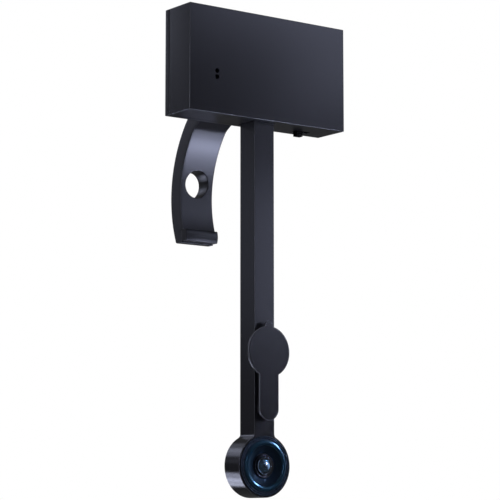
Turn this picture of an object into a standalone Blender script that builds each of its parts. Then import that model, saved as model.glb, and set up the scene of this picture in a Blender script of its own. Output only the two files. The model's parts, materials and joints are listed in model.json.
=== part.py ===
"""Monitor-hung document camera: a slim housing on a rear hook, a drop arm and a round lens head.

Metres, +Z up, front towards -Y. The origin is the middle of the rear cover's flat underside,
which rests on the top edge of a screen.
"""

import math

import bmesh
import bpy
from mathutils import Vector

MM = 0.001
GAP = 0.3 * MM  # clearance left between pieces that touch

# Housing: a box split into a front shell and a rear cover
HOUSING_WIDTH = 72 * MM
HOUSING_DEPTH = 16 * MM
HOUSING_HEIGHT = 40 * MM
REAR_COVER_DEPTH = 3 * MM
HOUSING_WALL = 1.8 * MM
EDGE_ROUND = 0.3 * MM
HALF_WIDTH = HOUSING_WIDTH / 2
REAR_Y = REAR_COVER_DEPTH / 2
SEAM_Y = -REAR_COVER_DEPTH / 2
FRONT_Y = REAR_Y - HOUSING_DEPTH
SHELL_REAR_Y = SEAM_Y - GAP
INSIDE_HALF_WIDTH = HALF_WIDTH - HOUSING_WALL
INSIDE_FRONT_Y = FRONT_Y + HOUSING_WALL
INSIDE_TOP_Z = HOUSING_HEIGHT - HOUSING_WALL
REAR_SCREW_X = 31.9 * MM
REAR_SCREW_RISE = 5 * MM
REAR_POST_RADIUS = 2.6 * MM
PILOT_RADIUS = 1.05 * MM
PILOT_DEPTH = 8 * MM
RIB_DEPTH = 1.7 * MM
RIB_WALL = 1.2 * MM
RIB_START_Z = 9 * MM

# Drop arm and lens head
ARM_SIDE = 9 * MM
ARM_HALF = ARM_SIDE / 2
ARM_SETBACK = 3 * MM
ARM_FRONT_Y = FRONT_Y + ARM_SETBACK
ARM_REAR_Y = ARM_FRONT_Y + ARM_SIDE
ARM_TOP_Z = 15 * MM
ARM_FRONT_WALL = 1.2 * MM
ARM_CHANNEL_HALF = 2.7 * MM
ARM_SLOT_GAP = 0.4 * MM
HEAD_RADIUS = 11.6 * MM
HEAD_Z = -127.8 * MM
HEAD_FILLET = 1.6 * MM
HEAD_BORE = 10.3 * MM
HEAD_LEDGE_BORE = 8 * MM
HEAD_LEDGE_FRONT = 3 * MM  # behind the head's front face
HEAD_LEDGE_REAR = 4.2 * MM
BACK_COVER_THICKNESS = 1.2 * MM
BACK_COVER_HALF = 3 * MM
BACK_COVER_TOP_Z = -2 * MM
BACK_COVER_FACE_Y = ARM_REAR_Y - BACK_COVER_THICKNESS
BACK_SCREW_X = 7.9 * MM
BACK_PILLAR_RADIUS = 1.7 * MM
BACK_PILOT_RADIUS = 0.75 * MM

# Arm guide, brake and stop, inside the housing
GUIDE_HALF = 8.5 * MM
GUIDE_LOW_Z = HOUSING_WALL + GAP
GUIDE_TOP_Z = 12 * MM
GUIDE_WALL_DEPTH = 1.6 * MM
GUIDE_POCKET_DEPTH = 1.2 * MM
BRAKE_LENGTH = 4.6 * MM
BRAKE_Z = 7 * MM
BRAKE_PAD_THICKNESS = 0.8 * MM
BRAKE_POCKET_DEPTH = 2.4 * MM
SPRING_THICKNESS = 0.25 * MM
SPRING_BOW = 0.7 * MM
STOP_SIDE = 1.4 * MM
STOP_ROOF = 1 * MM

# Ribbon cable from the head to the main board
RIBBON_HALF = 2 * MM
RIBBON_THICKNESS = 0.35 * MM
RIBBON_Y = -4.6 * MM
RIBBON_LOW_Z = -123.5 * MM
LOOP_FRONT_Y = -5.4 * MM
LOOP_WIDTH = 1.8 * MM
LOOP_RADIUS = 4 * MM
LOOP_CREST_Z = 33.6 * MM
LOOP_END_Z = 25 * MM

# Camera module, measured forward from the head's front face
BEZEL_RADIUS = 10 * MM
BEZEL_CREST_RADIUS = 8.6 * MM
BEZEL_CREST = 1.3 * MM
BEZEL_SHOULDER = 0.35 * MM
BEZEL_BORE = 7.7 * MM
BAFFLE_RADIUS = 7.4 * MM
BAFFLE_BORE = 5.5 * MM
BAFFLE_LIP = 0.45 * MM
BAFFLE_FLOOR = -0.25 * MM
BAFFLE_REAR = -1 * MM
BARREL_FLANGE_RADIUS = 5.2 * MM
BARREL_RING_RADIUS = 3.5 * MM
BARREL_RING_TOP = 0.35 * MM
BARREL_TUBE_RADIUS = 3.3 * MM
BARREL_TUBE_REAR = -1.9 * MM
BARREL_SEAT = -1.2 * MM
LENS_SEAT_RADIUS = 2.8 * MM
LENS_RADIUS = 2.5 * MM
LENS_CREST = 0.6 * MM
LENS_RIM = 0.1 * MM
LENS_REAR = -0.9 * MM
REAR_LENS_RADIUS = 2 * MM
REAR_LENS_THICKNESS = 0.6 * MM
HOLDER_HALF = 4.25 * MM
HOLDER_BORE = 3.6 * MM
HOLDER_FRONT = -1.3 * MM
HOLDER_STEP = -2.3 * MM
HOLDER_REAR = -4.2 * MM
SENSOR_HALF = 3.1 * MM
SENSOR_THICKNESS = 0.8 * MM
FILTER_THICKNESS = 0.55 * MM
CAMERA_BOARD_HALF = 5.8 * MM
BOARD_THICKNESS = 1 * MM

# Swing lens cover
COVER_RADIUS = 9.4 * MM
COVER_Z = -86.15 * MM
COVER_PIVOT_Z = (COVER_Z + HEAD_Z) / 2
COVER_TAIL_HALF = 4.4 * MM
COVER_THICKNESS = 1 * MM
COVER_EDGE = 0.18 * MM
COVER_NUB_RADIUS = 1.85 * MM
COVER_POST_RADIUS = 3.8 * MM
COVER_SHAFT_RADIUS = 1.5 * MM
COVER_SHAFT_HOLE = 1.8 * MM
COVER_SHAFT_REAR_Y = -9.4 * MM
COVER_WASHER_RADIUS = 2.4 * MM
COVER_WASHER_THICKNESS = 0.5 * MM

# Hook behind the screen: a strip along an arc in the YZ plane
HOOK_WIDTH = 15 * MM
HOOK_HALF = HOOK_WIDTH / 2
HOOK_CENTRE_Y = -7.3 * MM
HOOK_CENTRE_Z = -23.3 * MM
HOOK_OUTER_RADIUS = 46.4 * MM
HOOK_INNER_RADIUS = 39.9 * MM
HOOK_TIP_Z = -41.2 * MM
HOOK_TIP_ROUND = 1.2 * MM
HOOK_TIP_CHAMFER = 1 * MM
HOOK_HOLE_RADIUS = 5.3 * MM
HOOK_HOLE_ANGLE = math.radians(7.5)
HOOK_BEND_ANGLE = math.radians(39)  # where the inner face leaves its arc for a tighter bend
HOOK_BEND_RADIUS = 5 * MM
HOOK_ROOT_SINK = 0.4 * MM
PAD_FRONT_Y = 28.5 * MM
PAD_DEPTH = 3 * MM
PAD_TOP_Z = -36.3 * MM
PAD_LOW_Z = -40.7 * MM
PAD_BULGE = 0.5 * MM

# Friction hinge that carries the hook
HINGE_Y = 8.5 * MM
HINGE_RADIUS = (HOOK_OUTER_RADIUS + HOOK_INNER_RADIUS) / 2
HINGE_Z = HOOK_CENTRE_Z + math.sqrt(HINGE_RADIUS**2 - (HINGE_Y - HOOK_CENTRE_Y) ** 2)
KNUCKLE_RADIUS = 4.8 * MM
PIN_RADIUS = 2 * MM
PIN_HEAD_RADIUS = 3.4 * MM
PIN_HEAD_LENGTH = 1.8 * MM
PIN_TAIL = 0.5 * MM
NUT_LENGTH = 2.2 * MM
LUG_INNER_X = 8.7 * MM
LUG_OUTER_X = 11.2 * MM
LUG_RADIUS = 4.6 * MM
BRACKET_HALF_WIDTH = 15.6 * MM
BRACKET_HALF_HEIGHT = 6 * MM
BRACKET_THICKNESS = 1.5 * MM
BRACKET_SCREW_X = 13.3 * MM
WASHER_RADIUS = 4.4 * MM

# Electronics in the housing
MAIN_BOARD_LEFT_X = 9.5 * MM
MAIN_BOARD_RIGHT_X = 28.5 * MM
MAIN_BOARD_LOW_Z = 4.5 * MM
MAIN_BOARD_TOP_Z = 33 * MM
MAIN_BOARD_FRONT_Y = -6.9 * MM
MAIN_BOARD_REAR_Y = -5.7 * MM
MAIN_BOARD_SCREWS = ((12.5 * MM, 30.5 * MM), (25 * MM, 13 * MM))
BOARD_POST_RADIUS = 2 * MM
CHIP_SIDE = 8 * MM
CHIP_X = 16 * MM
CHIP_Z = 11 * MM
CHIP_THICKNESS = 1 * MM
USB_X = 23 * MM
USB_Z = 22 * MM
USB_WIDTH = 9 * MM
USB_HEIGHT = 3.3 * MM
USB_WALL = 0.35 * MM
USB_MOUTH_Y = 1.2 * MM
USB_FLOOR = 0.8 * MM
USB_CLEARANCE = 0.4 * MM
USB_TONGUE_HALF = 3.35 * MM
USB_TONGUE_THICKNESS = 0.7 * MM
USB_TONGUE_SETBACK = 0.6 * MM

# Slide switch under the housing
KNOB_X = 21.52 * MM
KNOB_HALF_X = 1.525 * MM
KNOB_HALF_Y = 1.1 * MM
KNOB_LOW_Z = -2 * MM
KNOB_TOP_Z = 2.4 * MM
KNOB_EDGE = 0.2 * MM
SWITCH_Y = -4.25 * MM
SWITCH_TRAVEL = 3.2 * MM
SWITCH_CLEARANCE = 0.35 * MM
STEM_HALF_X = 0.72 * MM
STEM_HALF_Y = 0.35 * MM
STEM_TOP_Z = 5.4 * MM
SWITCH_BODY_HALF_X = 4.65 * MM
SWITCH_BODY_HALF_Y = 1.05 * MM
SWITCH_BODY_LOW_Z = 2.8 * MM
SWITCH_BODY_TOP_Z = 7.2 * MM

# Microphones behind the two front holes
MIC_X = -23.7 * MM
MIC_HOLES_Z = (15.9 * MM, 13.6 * MM)
MIC_HOLE_RADIUS = 0.95 * MM
MIC_HALF_X = 1.4 * MM
MIC_HALF_Z = 0.95 * MM
MIC_THICKNESS = 1 * MM
MIC_GASKET_HALF_X = 2.6 * MM
MIC_GASKET_MARGIN = 1.4 * MM
MIC_GASKET_THICKNESS = 0.8 * MM
MIC_BOARD_HALF_X = 4.6 * MM
MIC_BOARD_LOW_Z = 8 * MM
MIC_BOARD_TOP_Z = 20 * MM
MIC_SCREW_Z = 9.9 * MM
LEAD_RADIUS = 0.5 * MM
LEAD_REACH = 20 * MM
LEAD_FOOT_Z = 17.5 * MM
LEAD_CREST_Z = 37.3 * MM
LEAD_LEFT_Y = -8.2 * MM
LEAD_RIGHT_Y = -7.8 * MM
LEAD_POINTS = 26

# Screws: head radius, head height, shank radius, length under the top of the head
REAR_SCREW = (1.9 * MM, 1.1 * MM, 0.75 * MM, 8 * MM)
BACK_SCREW = (1.5 * MM, 0.8 * MM, 0.45 * MM, 3 * MM)
PAN_SCREW = (1.7 * MM, 0.9 * MM, 0.75 * MM, 4.5 * MM)
COVER_SCREW = (2.3 * MM, 0.8 * MM, 0.6 * MM, 3 * MM)
CROSS_DEPTH = 0.55
CROSS_REACH = 0.62
CROSS_WIDTH = 0.26

# Facets on round pieces
FINE_STEPS = 40
COARSE_STEPS = 20
SMOOTH_ANGLE = math.radians(35)

# Which way a turned or extruded piece faces
FACING = {
    "front": (math.pi / 2, 0, 0),
    "rear": (-math.pi / 2, 0, 0),
    "right": (math.pi / 2, 0, math.pi / 2),
    "up": (0, 0, 0),
}


# Scene, materials and placing


def clear_scene():
    for obj in list(bpy.data.objects):
        bpy.data.objects.remove(obj, do_unlink=True)


def make_collection(name):
    collection = bpy.data.collections.new(name)
    bpy.context.scene.collection.children.link(collection)
    return collection


def make_finish(name, colour, roughness, metallic=0.0):
    material = bpy.data.materials.new(name)
    material.use_nodes = True
    shader = material.node_tree.nodes["Principled BSDF"]
    shader.inputs["Base Color"].default_value = (*colour, 1.0)
    shader.inputs["Roughness"].default_value = roughness
    shader.inputs["Metallic"].default_value = metallic
    material.diffuse_color = (*colour, 1.0)
    return material


def pivot(name, location, parent=None):
    """An empty on a joint's axis. Its world place is kept with it, for its children."""
    empty = bpy.data.objects.new(name, None)
    empty["world"] = tuple(location)
    empty.location = Vector(location) - Vector(parent["world"] if parent else (0, 0, 0))
    empty.parent = parent
    parts.objects.link(empty)
    return empty


def dress(obj, finish, carrier=None):
    """Gives a finished piece its material and hangs it on the empty that carries it."""
    obj.data.materials.clear()
    obj.data.materials.append(finish)
    if carrier:
        obj.location -= Vector(carrier["world"])
        obj.parent = carrier
    return obj


def place(name, mesh, location=(0, 0, 0), rotation=(0, 0, 0)):
    obj = bpy.data.objects.new(name, mesh)
    obj.location = location
    obj.rotation_euler = rotation
    parts.objects.link(obj)
    return obj


def settled_mesh(obj):
    """The evaluated mesh of an object, welded, facing out, with its round faces smooth."""
    bpy.context.view_layer.update()
    graph = bpy.context.evaluated_depsgraph_get()
    mesh = bpy.data.meshes.new_from_object(obj.evaluated_get(graph))
    shape = bmesh.new()
    shape.from_mesh(mesh)
    bmesh.ops.remove_doubles(shape, verts=shape.verts, dist=1e-6)
    bmesh.ops.recalc_face_normals(shape, faces=shape.faces)
    shape.to_mesh(mesh)
    shape.free()
    mesh.shade_smooth()
    mesh.set_sharp_from_angle(angle=SMOOTH_ANGLE)
    return mesh


def as_tool(obj):
    """Moves an object to the cutters, where it shows as wire and isn't a piece."""
    parts.objects.unlink(obj)
    cutters.objects.link(obj)
    obj.hide_render = True
    obj.display_type = "WIRE"
    return obj


def combine(target, tool, operation):
    step = target.modifiers.new(tool.name, "BOOLEAN")
    step.operation = operation
    step.object = as_tool(tool)
    step.solver = "EXACT"


def subtract(target, tool):
    combine(target, tool, "DIFFERENCE")


def unite(target, tool):
    combine(target, tool, "UNION")


def round_edges(obj, width, segments=2):
    bevel = obj.modifiers.new("Round edges", "BEVEL")
    bevel.width = width
    bevel.segments = segments
    bevel.limit_method = "ANGLE"
    bevel.angle_limit = math.radians(40)


# Basic shapes


def box(name, low, high):
    """A block between two corners, with its origin at its middle."""
    mesh = bpy.data.meshes.new(name)
    low, high = Vector(low), Vector(high)
    shape = bmesh.new()
    bmesh.ops.create_cube(shape, size=1.0)
    bmesh.ops.scale(shape, vec=high - low, verts=shape.verts)
    shape.to_mesh(mesh)
    shape.free()
    return place(name, mesh, (low + high) / 2)


def rod(name, radius, start, end, steps=COARSE_STEPS):
    """A cylinder from one point to another."""
    start, end = Vector(start), Vector(end)
    mesh = bpy.data.meshes.new(name)
    shape = bmesh.new()
    bmesh.ops.create_cone(
        shape,
        cap_ends=True,
        segments=steps,
        radius1=radius,
        radius2=radius,
        depth=(end - start).length,
    )
    shape.to_mesh(mesh)
    shape.free()
    mesh.shade_smooth()
    mesh.set_sharp_from_angle(angle=SMOOTH_ANGLE)
    turn = (end - start).to_track_quat("Z", "Y").to_euler()
    return place(name, mesh, (start + end) / 2, turn)


def rod_along_y(name, radius, x, z, front_y, rear_y, steps=COARSE_STEPS):
    return rod(name, radius, (x, front_y, z), (x, rear_y, z), steps)


def turned(name, profile, location, facing, closed=False, steps=FINE_STEPS):
    """A profile of (radius, height) points, run down its outer side, turned about its axis."""
    points = [(radius, 0, height) for radius, height in profile]
    edges = [(i, i + 1) for i in range(len(points) - 1)]
    if closed:
        edges.append((len(points) - 1, 0))
    mesh = bpy.data.meshes.new(name)
    mesh.from_pydata(points, edges, [])
    obj = place(name, mesh, location, FACING[facing])
    screw = obj.modifiers.new("Turn", "SCREW")
    screw.steps = steps
    screw.render_steps = steps
    screw.use_merge_vertices = True
    screw.merge_threshold = 1e-6
    obj.data = settled_mesh(obj)
    obj.modifiers.clear()
    return obj


def prism(name, outlines, facing, low, high):
    """Flat outlines, the first the rim and the rest holes, given a thickness along one axis.

    Facing front, an outline is (x, z) and low and high are y. Facing right, it is (y, z) and
    they are x. Facing up, it is (x, y) and they are z.
    """
    curve = bpy.data.curves.new(name, "CURVE")
    curve.dimensions = "2D"
    curve.fill_mode = "BOTH"
    curve.extrude = (high - low) / 2
    for outline in outlines:
        spline = curve.splines.new("POLY")
        spline.points.add(len(outline) - 1)
        for point, (u, v) in zip(spline.points, outline):
            point.co = (u, v, 0, 1)
        spline.use_cyclic_u = True
    middle = (low + high) / 2
    places = {"front": (0, middle, 0), "right": (middle, 0, 0), "up": (0, 0, middle)}
    drawn = place(name + "_outline", curve, places[facing], FACING[facing])
    mesh = settled_mesh(drawn)
    mesh.name = name
    obj = place(name, mesh)
    obj.matrix_world = drawn.matrix_world
    bpy.data.objects.remove(drawn)
    return obj


def arc(centre, radius, start, end, count):
    """Points along an arc, angles in radians, both ends included."""
    u, v = centre
    angles = [start + (end - start) * i / (count - 1) for i in range(count)]
    return [(u + radius * math.cos(a), v + radius * math.sin(a)) for a in angles]


def circle(u, v, radius, count=COARSE_STEPS):
    return arc((u, v), radius, 0, 2 * math.pi * (1 - 1 / count), count)


def stadium(u, v, width, height, count=9):
    """A round-ended slot outline, wide along its first axis."""
    radius = height / 2
    offset = width / 2 - radius
    right = arc((u + offset, v), radius, -math.pi / 2, math.pi / 2, count)
    left = arc((u - offset, v), radius, math.pi / 2, 3 * math.pi / 2, count)
    return right + left


def mirrored(half):
    """A whole outline from its right half, which starts and ends on or beside the middle line."""
    return half + [(-u, v) for u, v in reversed(half) if abs(u) > 1e-9]


def strip_outline(path, thickness):
    """A thin strip's outline: the path, set off by half the thickness to either side."""
    near, far = [], []
    for i, point in enumerate(path):
        before = Vector(path[max(i - 1, 0)])
        after = Vector(path[min(i + 1, len(path) - 1)])
        along = (after - before).normalized()
        side = Vector((-along.y, along.x)) * thickness / 2
        near.append(tuple(Vector(point) + side))
        far.append(tuple(Vector(point) - side))
    return near + far[::-1]


# Screws


def screw_mesh(name, sizes, countersunk):
    """A cross-headed screw about +Z, its head's top at height 0."""
    head, height, shank, length = sizes
    if countersunk:
        profile = [(0, 0), (head, 0), (shank, -height), (shank, -length), (0, -length)]
    else:
        shoulder = -height * 0.4
        crown = [(0, 0), (head * 0.72, 0), (head, shoulder), (head, -height)]
        profile = crown + [(shank, -height), (shank, -length), (0, -length)]
    screw = turned(name, profile, (0, 0, 0), "up", steps=16)
    depth = height * CROSS_DEPTH
    reach, width = head * CROSS_REACH, head * CROSS_WIDTH / 2
    bars = [
        box(name + "_bar", (-reach, -width, -depth), (reach, width, height)),
        box(name + "_bar", (-width, -reach, -depth), (width, reach, height)),
    ]
    for bar in bars:
        subtract(screw, bar)
    mesh = settled_mesh(screw)
    mesh.name = name
    for leftover in [screw, *bars]:
        bpy.data.objects.remove(leftover)
    return mesh


def set_screws(prefix, sizes, countersunk, places, facing, carrier=None):
    """One screw object for each named place, all sharing a mesh."""
    mesh = screw_mesh(prefix, sizes, countersunk)
    for label, location in places.items():
        obj = place(f"{prefix}_{label}" if label else prefix, mesh, location, FACING[facing])
        dress(obj, finishes["screw"], carrier)


def rear_screw_places():
    low, top = REAR_SCREW_RISE, HOUSING_HEIGHT - REAR_SCREW_RISE
    return {
        "low_left": (-REAR_SCREW_X, REAR_Y, low),
        "low_right": (REAR_SCREW_X, REAR_Y, low),
        "top_left": (-REAR_SCREW_X, REAR_Y, top),
        "top_right": (REAR_SCREW_X, REAR_Y, top),
    }


def countersink(name, x, y, z, sizes, reach):
    """A cutter for a countersunk screw that goes in from the rear, a little wider than it."""
    head, height, shank, _ = sizes
    wide, narrow = head + GAP, shank + GAP
    profile = [(0, GAP), (wide, GAP), (wide, 0), (narrow, -height), (narrow, -reach), (0, -reach)]
    return turned(name, profile, (x, y, z), "rear", steps=COARSE_STEPS)


# Housing


def make_housing_shell():
    shell = box("housing_shell", (-HALF_WIDTH, FRONT_Y, 0), (HALF_WIDTH, SHELL_REAR_Y, HOUSING_HEIGHT))
    round_edges(shell, EDGE_ROUND)
    inside_low = (-INSIDE_HALF_WIDTH, INSIDE_FRONT_Y, HOUSING_WALL)
    subtract(shell, box("shell_inside", inside_low, (INSIDE_HALF_WIDTH, REAR_Y, INSIDE_TOP_Z)))
    root_y = INSIDE_FRONT_Y - HOUSING_WALL / 2
    post_rear_y = SHELL_REAR_Y - GAP
    for x, _, z in rear_screw_places().values():
        unite(shell, rod_along_y("rear_post", REAR_POST_RADIUS, x, z, root_y, post_rear_y))
        pilot_y = post_rear_y - PILOT_DEPTH
        subtract(shell, rod_along_y("rear_pilot", PILOT_RADIUS, x, z, pilot_y, REAR_Y))
    board_post_y = MAIN_BOARD_FRONT_Y - GAP
    mic_post_y = mic_board_front_y() - GAP
    small_posts = [(x, z, board_post_y) for x, z in MAIN_BOARD_SCREWS]
    small_posts.append((MIC_X, MIC_SCREW_Z, mic_post_y))
    for x, z, rear_y in small_posts:
        unite(shell, rod_along_y("board_post", BOARD_POST_RADIUS, x, z, root_y, rear_y))
        subtract(shell, rod_along_y("board_pilot", PILOT_RADIUS, x, z, INSIDE_FRONT_Y, REAR_Y))
    near_y, far_y = FRONT_Y - GAP, root_y + HOUSING_WALL
    for z in MIC_HOLES_Z:
        subtract(shell, rod_along_y("mic_hole", MIC_HOLE_RADIUS, MIC_X, z, near_y, far_y))
    slot_low = (-ARM_HALF - ARM_SLOT_GAP, ARM_FRONT_Y - ARM_SLOT_GAP, -HOUSING_WALL)
    slot_high = (ARM_HALF + ARM_SLOT_GAP, ARM_REAR_Y + ARM_SLOT_GAP, 2 * HOUSING_WALL)
    subtract(shell, box("arm_slot", slot_low, slot_high))
    reach_x = KNOB_HALF_X + SWITCH_CLEARANCE
    reach_y = KNOB_HALF_Y + SWITCH_CLEARANCE
    switch_low = (KNOB_X - reach_x, SWITCH_Y - reach_y, -HOUSING_WALL)
    switch_high = (KNOB_X + SWITCH_TRAVEL + reach_x, SWITCH_Y + reach_y, 2 * HOUSING_WALL)
    subtract(shell, box("switch_slot", switch_low, switch_high))
    dress(shell, finishes["shell"])


def make_rear_cover():
    cover = box("rear_cover", (-HALF_WIDTH, SEAM_Y, 0), (HALF_WIDTH, REAR_Y, HOUSING_HEIGHT))
    round_edges(cover, EDGE_ROUND)
    add_locating_rib(cover)
    for x, y, z in rear_screw_places().values():
        subtract(cover, countersink("rear_sink", x, y, z, REAR_SCREW, HOUSING_DEPTH / 2))
    clear_width = USB_WIDTH + 2 * USB_CLEARANCE
    clear_height = USB_HEIGHT + 2 * USB_CLEARANCE
    mouth = stadium(USB_X, USB_Z, clear_width, clear_height)
    subtract(cover, prism("usb_mouth", [mouth], "front", SEAM_Y - GAP, REAR_Y + GAP))
    pocket_low = (-GUIDE_HALF - GAP, SEAM_Y - GAP, HOUSING_WALL)
    pocket_high = (GUIDE_HALF + GAP, SEAM_Y + GUIDE_POCKET_DEPTH, GUIDE_TOP_Z + GAP)
    subtract(cover, box("guide_pocket", pocket_low, pocket_high))
    for x in (-BRACKET_SCREW_X, BRACKET_SCREW_X):
        subtract(cover, rod_along_y("bracket_pilot", PILOT_RADIUS, x, HINGE_Z, SEAM_Y - GAP, REAR_Y + GAP))
    dress(cover, finishes["shell"])


def add_locating_rib(cover):
    """Three bars that step into the front shell, along its sides and its top."""
    half, top = INSIDE_HALF_WIDTH - GAP, INSIDE_TOP_Z - GAP
    front_y, rear_y = SEAM_Y - RIB_DEPTH, SEAM_Y + RIB_WALL
    top_z = HOUSING_HEIGHT - RIB_START_Z
    unite(cover, box("left_rib", (-half, front_y, RIB_START_Z), (-half + RIB_WALL, rear_y, top_z)))
    unite(cover, box("right_rib", (half - RIB_WALL, front_y, RIB_START_Z), (half, rear_y, top_z)))
    reach = half - RIB_START_Z
    unite(cover, box("top_rib", (-reach, front_y, top - RIB_WALL), (reach, rear_y, top)))


def make_rear_screws():
    set_screws("rear_screw", REAR_SCREW, True, rear_screw_places(), "rear")


# Arm guide inside the housing


def make_arm_guide():
    front_y = INSIDE_FRONT_Y + GAP
    rear_y = ARM_REAR_Y + GAP + GUIDE_WALL_DEPTH
    guide = box("arm_guide", (-GUIDE_HALF, front_y, GUIDE_LOW_Z), (GUIDE_HALF, rear_y, GUIDE_TOP_Z))
    way_low = (-ARM_HALF - GAP, ARM_FRONT_Y - GAP, 0)
    way_high = (ARM_HALF + GAP, ARM_REAR_Y + GAP, GUIDE_TOP_Z + GUIDE_LOW_Z)
    subtract(guide, box("guide_way", way_low, way_high))
    middle_y = (ARM_FRONT_Y + ARM_REAR_Y) / 2
    reach = BRAKE_LENGTH / 2 + GAP
    pocket_low = (ARM_HALF, middle_y - reach, BRAKE_Z - reach)
    pocket_high = (ARM_HALF + GAP + BRAKE_POCKET_DEPTH, middle_y + reach, BRAKE_Z + reach)
    subtract(guide, box("brake_pocket", pocket_low, pocket_high))
    dress(guide, finishes["slide_plastic"])


def make_brake():
    """A pad pressed on the arm's side by a bowed leaf, both in the guide's pocket."""
    middle_y = (ARM_FRONT_Y + ARM_REAR_Y) / 2
    half = BRAKE_LENGTH / 2
    pad_x = ARM_HALF + GAP
    pad_low = (pad_x, middle_y - half, BRAKE_Z - half)
    pad_high = (pad_x + BRAKE_PAD_THICKNESS, middle_y + half, BRAKE_Z + half)
    dress(box("brake_pad", pad_low, pad_high), finishes["rubber"])
    crest_x = pad_x + BRAKE_PAD_THICKNESS + GAP + SPRING_THICKNESS / 2
    bow_radius = (half**2 + SPRING_BOW**2) / (2 * SPRING_BOW)
    sweep = math.asin(half * 0.9 / bow_radius)
    bow = arc((crest_x + bow_radius, middle_y), bow_radius, math.pi - sweep, math.pi + sweep, 9)
    outline = strip_outline(bow, SPRING_THICKNESS)
    leaf_half = half * 0.8
    leaf = prism("brake_spring", [outline], "up", BRAKE_Z - leaf_half, BRAKE_Z + leaf_half)
    dress(leaf, finishes["spring_steel"])


# Electronics inside the housing


def make_main_board():
    left, right = MAIN_BOARD_LEFT_X, MAIN_BOARD_RIGHT_X
    low, top = MAIN_BOARD_LOW_Z, MAIN_BOARD_TOP_Z
    rim = [(left, low), (right, low), (right, top), (left, top)]
    holes = [circle(x, z, PILOT_RADIUS) for x, z in MAIN_BOARD_SCREWS]
    board = prism("main_board", [rim, *holes], "front", MAIN_BOARD_FRONT_Y, MAIN_BOARD_REAR_Y)
    dress(board, finishes["circuit_board"])
    head_y = MAIN_BOARD_REAR_Y + GAP + PAN_SCREW[1]
    (upper_x, upper_z), (lower_x, lower_z) = MAIN_BOARD_SCREWS
    places = {"upper": (upper_x, head_y, upper_z), "lower": (lower_x, head_y, lower_z)}
    set_screws("board_screw", PAN_SCREW, False, places, "rear")
    chip_rear_y = MAIN_BOARD_FRONT_Y - GAP
    chip_low = (CHIP_X - CHIP_SIDE / 2, chip_rear_y - CHIP_THICKNESS, CHIP_Z - CHIP_SIDE / 2)
    chip_high = (CHIP_X + CHIP_SIDE / 2, chip_rear_y, CHIP_Z + CHIP_SIDE / 2)
    dress(box("image_processor", chip_low, chip_high), finishes["chip"])


def make_usb_socket():
    """A round-ended metal shell that faces the rear, with its contact tongue inside."""
    front_y = MAIN_BOARD_REAR_Y + GAP
    rim = stadium(USB_X, USB_Z, USB_WIDTH, USB_HEIGHT)
    shell = prism("usb_socket", [rim], "front", front_y, USB_MOUTH_Y)
    hollow = stadium(USB_X, USB_Z, USB_WIDTH - 2 * USB_WALL, USB_HEIGHT - 2 * USB_WALL)
    floor_y = front_y + USB_FLOOR
    subtract(shell, prism("usb_hollow", [hollow], "front", floor_y, USB_MOUTH_Y + GAP))
    dress(shell, finishes["plated_steel"])
    half = USB_TONGUE_THICKNESS / 2
    tongue_low = (USB_X - USB_TONGUE_HALF, floor_y + GAP, USB_Z - half)
    tongue_high = (USB_X + USB_TONGUE_HALF, USB_MOUTH_Y - USB_TONGUE_SETBACK, USB_Z + half)
    dress(box("usb_tongue", tongue_low, tongue_high), finishes["chip"])


def make_switch(carrier):
    middle_x = KNOB_X + SWITCH_TRAVEL / 2
    body_low = (middle_x - SWITCH_BODY_HALF_X, SWITCH_Y - SWITCH_BODY_HALF_Y, SWITCH_BODY_LOW_Z)
    body_high = (middle_x + SWITCH_BODY_HALF_X, SWITCH_Y + SWITCH_BODY_HALF_Y, SWITCH_BODY_TOP_Z)
    body = box("switch_body", body_low, body_high)
    track_x = STEM_HALF_X + SWITCH_TRAVEL / 2 + SWITCH_CLEARANCE
    track_y = STEM_HALF_Y + SWITCH_CLEARANCE
    track_low = (middle_x - track_x, SWITCH_Y - track_y, 0)
    track_high = (middle_x + track_x, SWITCH_Y + track_y, STEM_TOP_Z + SWITCH_CLEARANCE)
    subtract(body, box("switch_track", track_low, track_high))
    dress(body, finishes["plated_steel"])
    knob_low = (KNOB_X - KNOB_HALF_X, SWITCH_Y - KNOB_HALF_Y, KNOB_LOW_Z)
    knob = box("switch_knob", knob_low, (KNOB_X + KNOB_HALF_X, SWITCH_Y + KNOB_HALF_Y, KNOB_TOP_Z))
    round_edges(knob, KNOB_EDGE)
    stem_low = (KNOB_X - STEM_HALF_X, SWITCH_Y - STEM_HALF_Y, 0)
    unite(knob, box("switch_stem", stem_low, (KNOB_X + STEM_HALF_X, SWITCH_Y + STEM_HALF_Y, STEM_TOP_Z)))
    dress(knob, finishes["knob"], carrier)


def mic_board_front_y():
    gasket_rear_y = INSIDE_FRONT_Y + GAP + MIC_GASKET_THICKNESS
    return gasket_rear_y + GAP + MIC_THICKNESS + GAP


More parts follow.
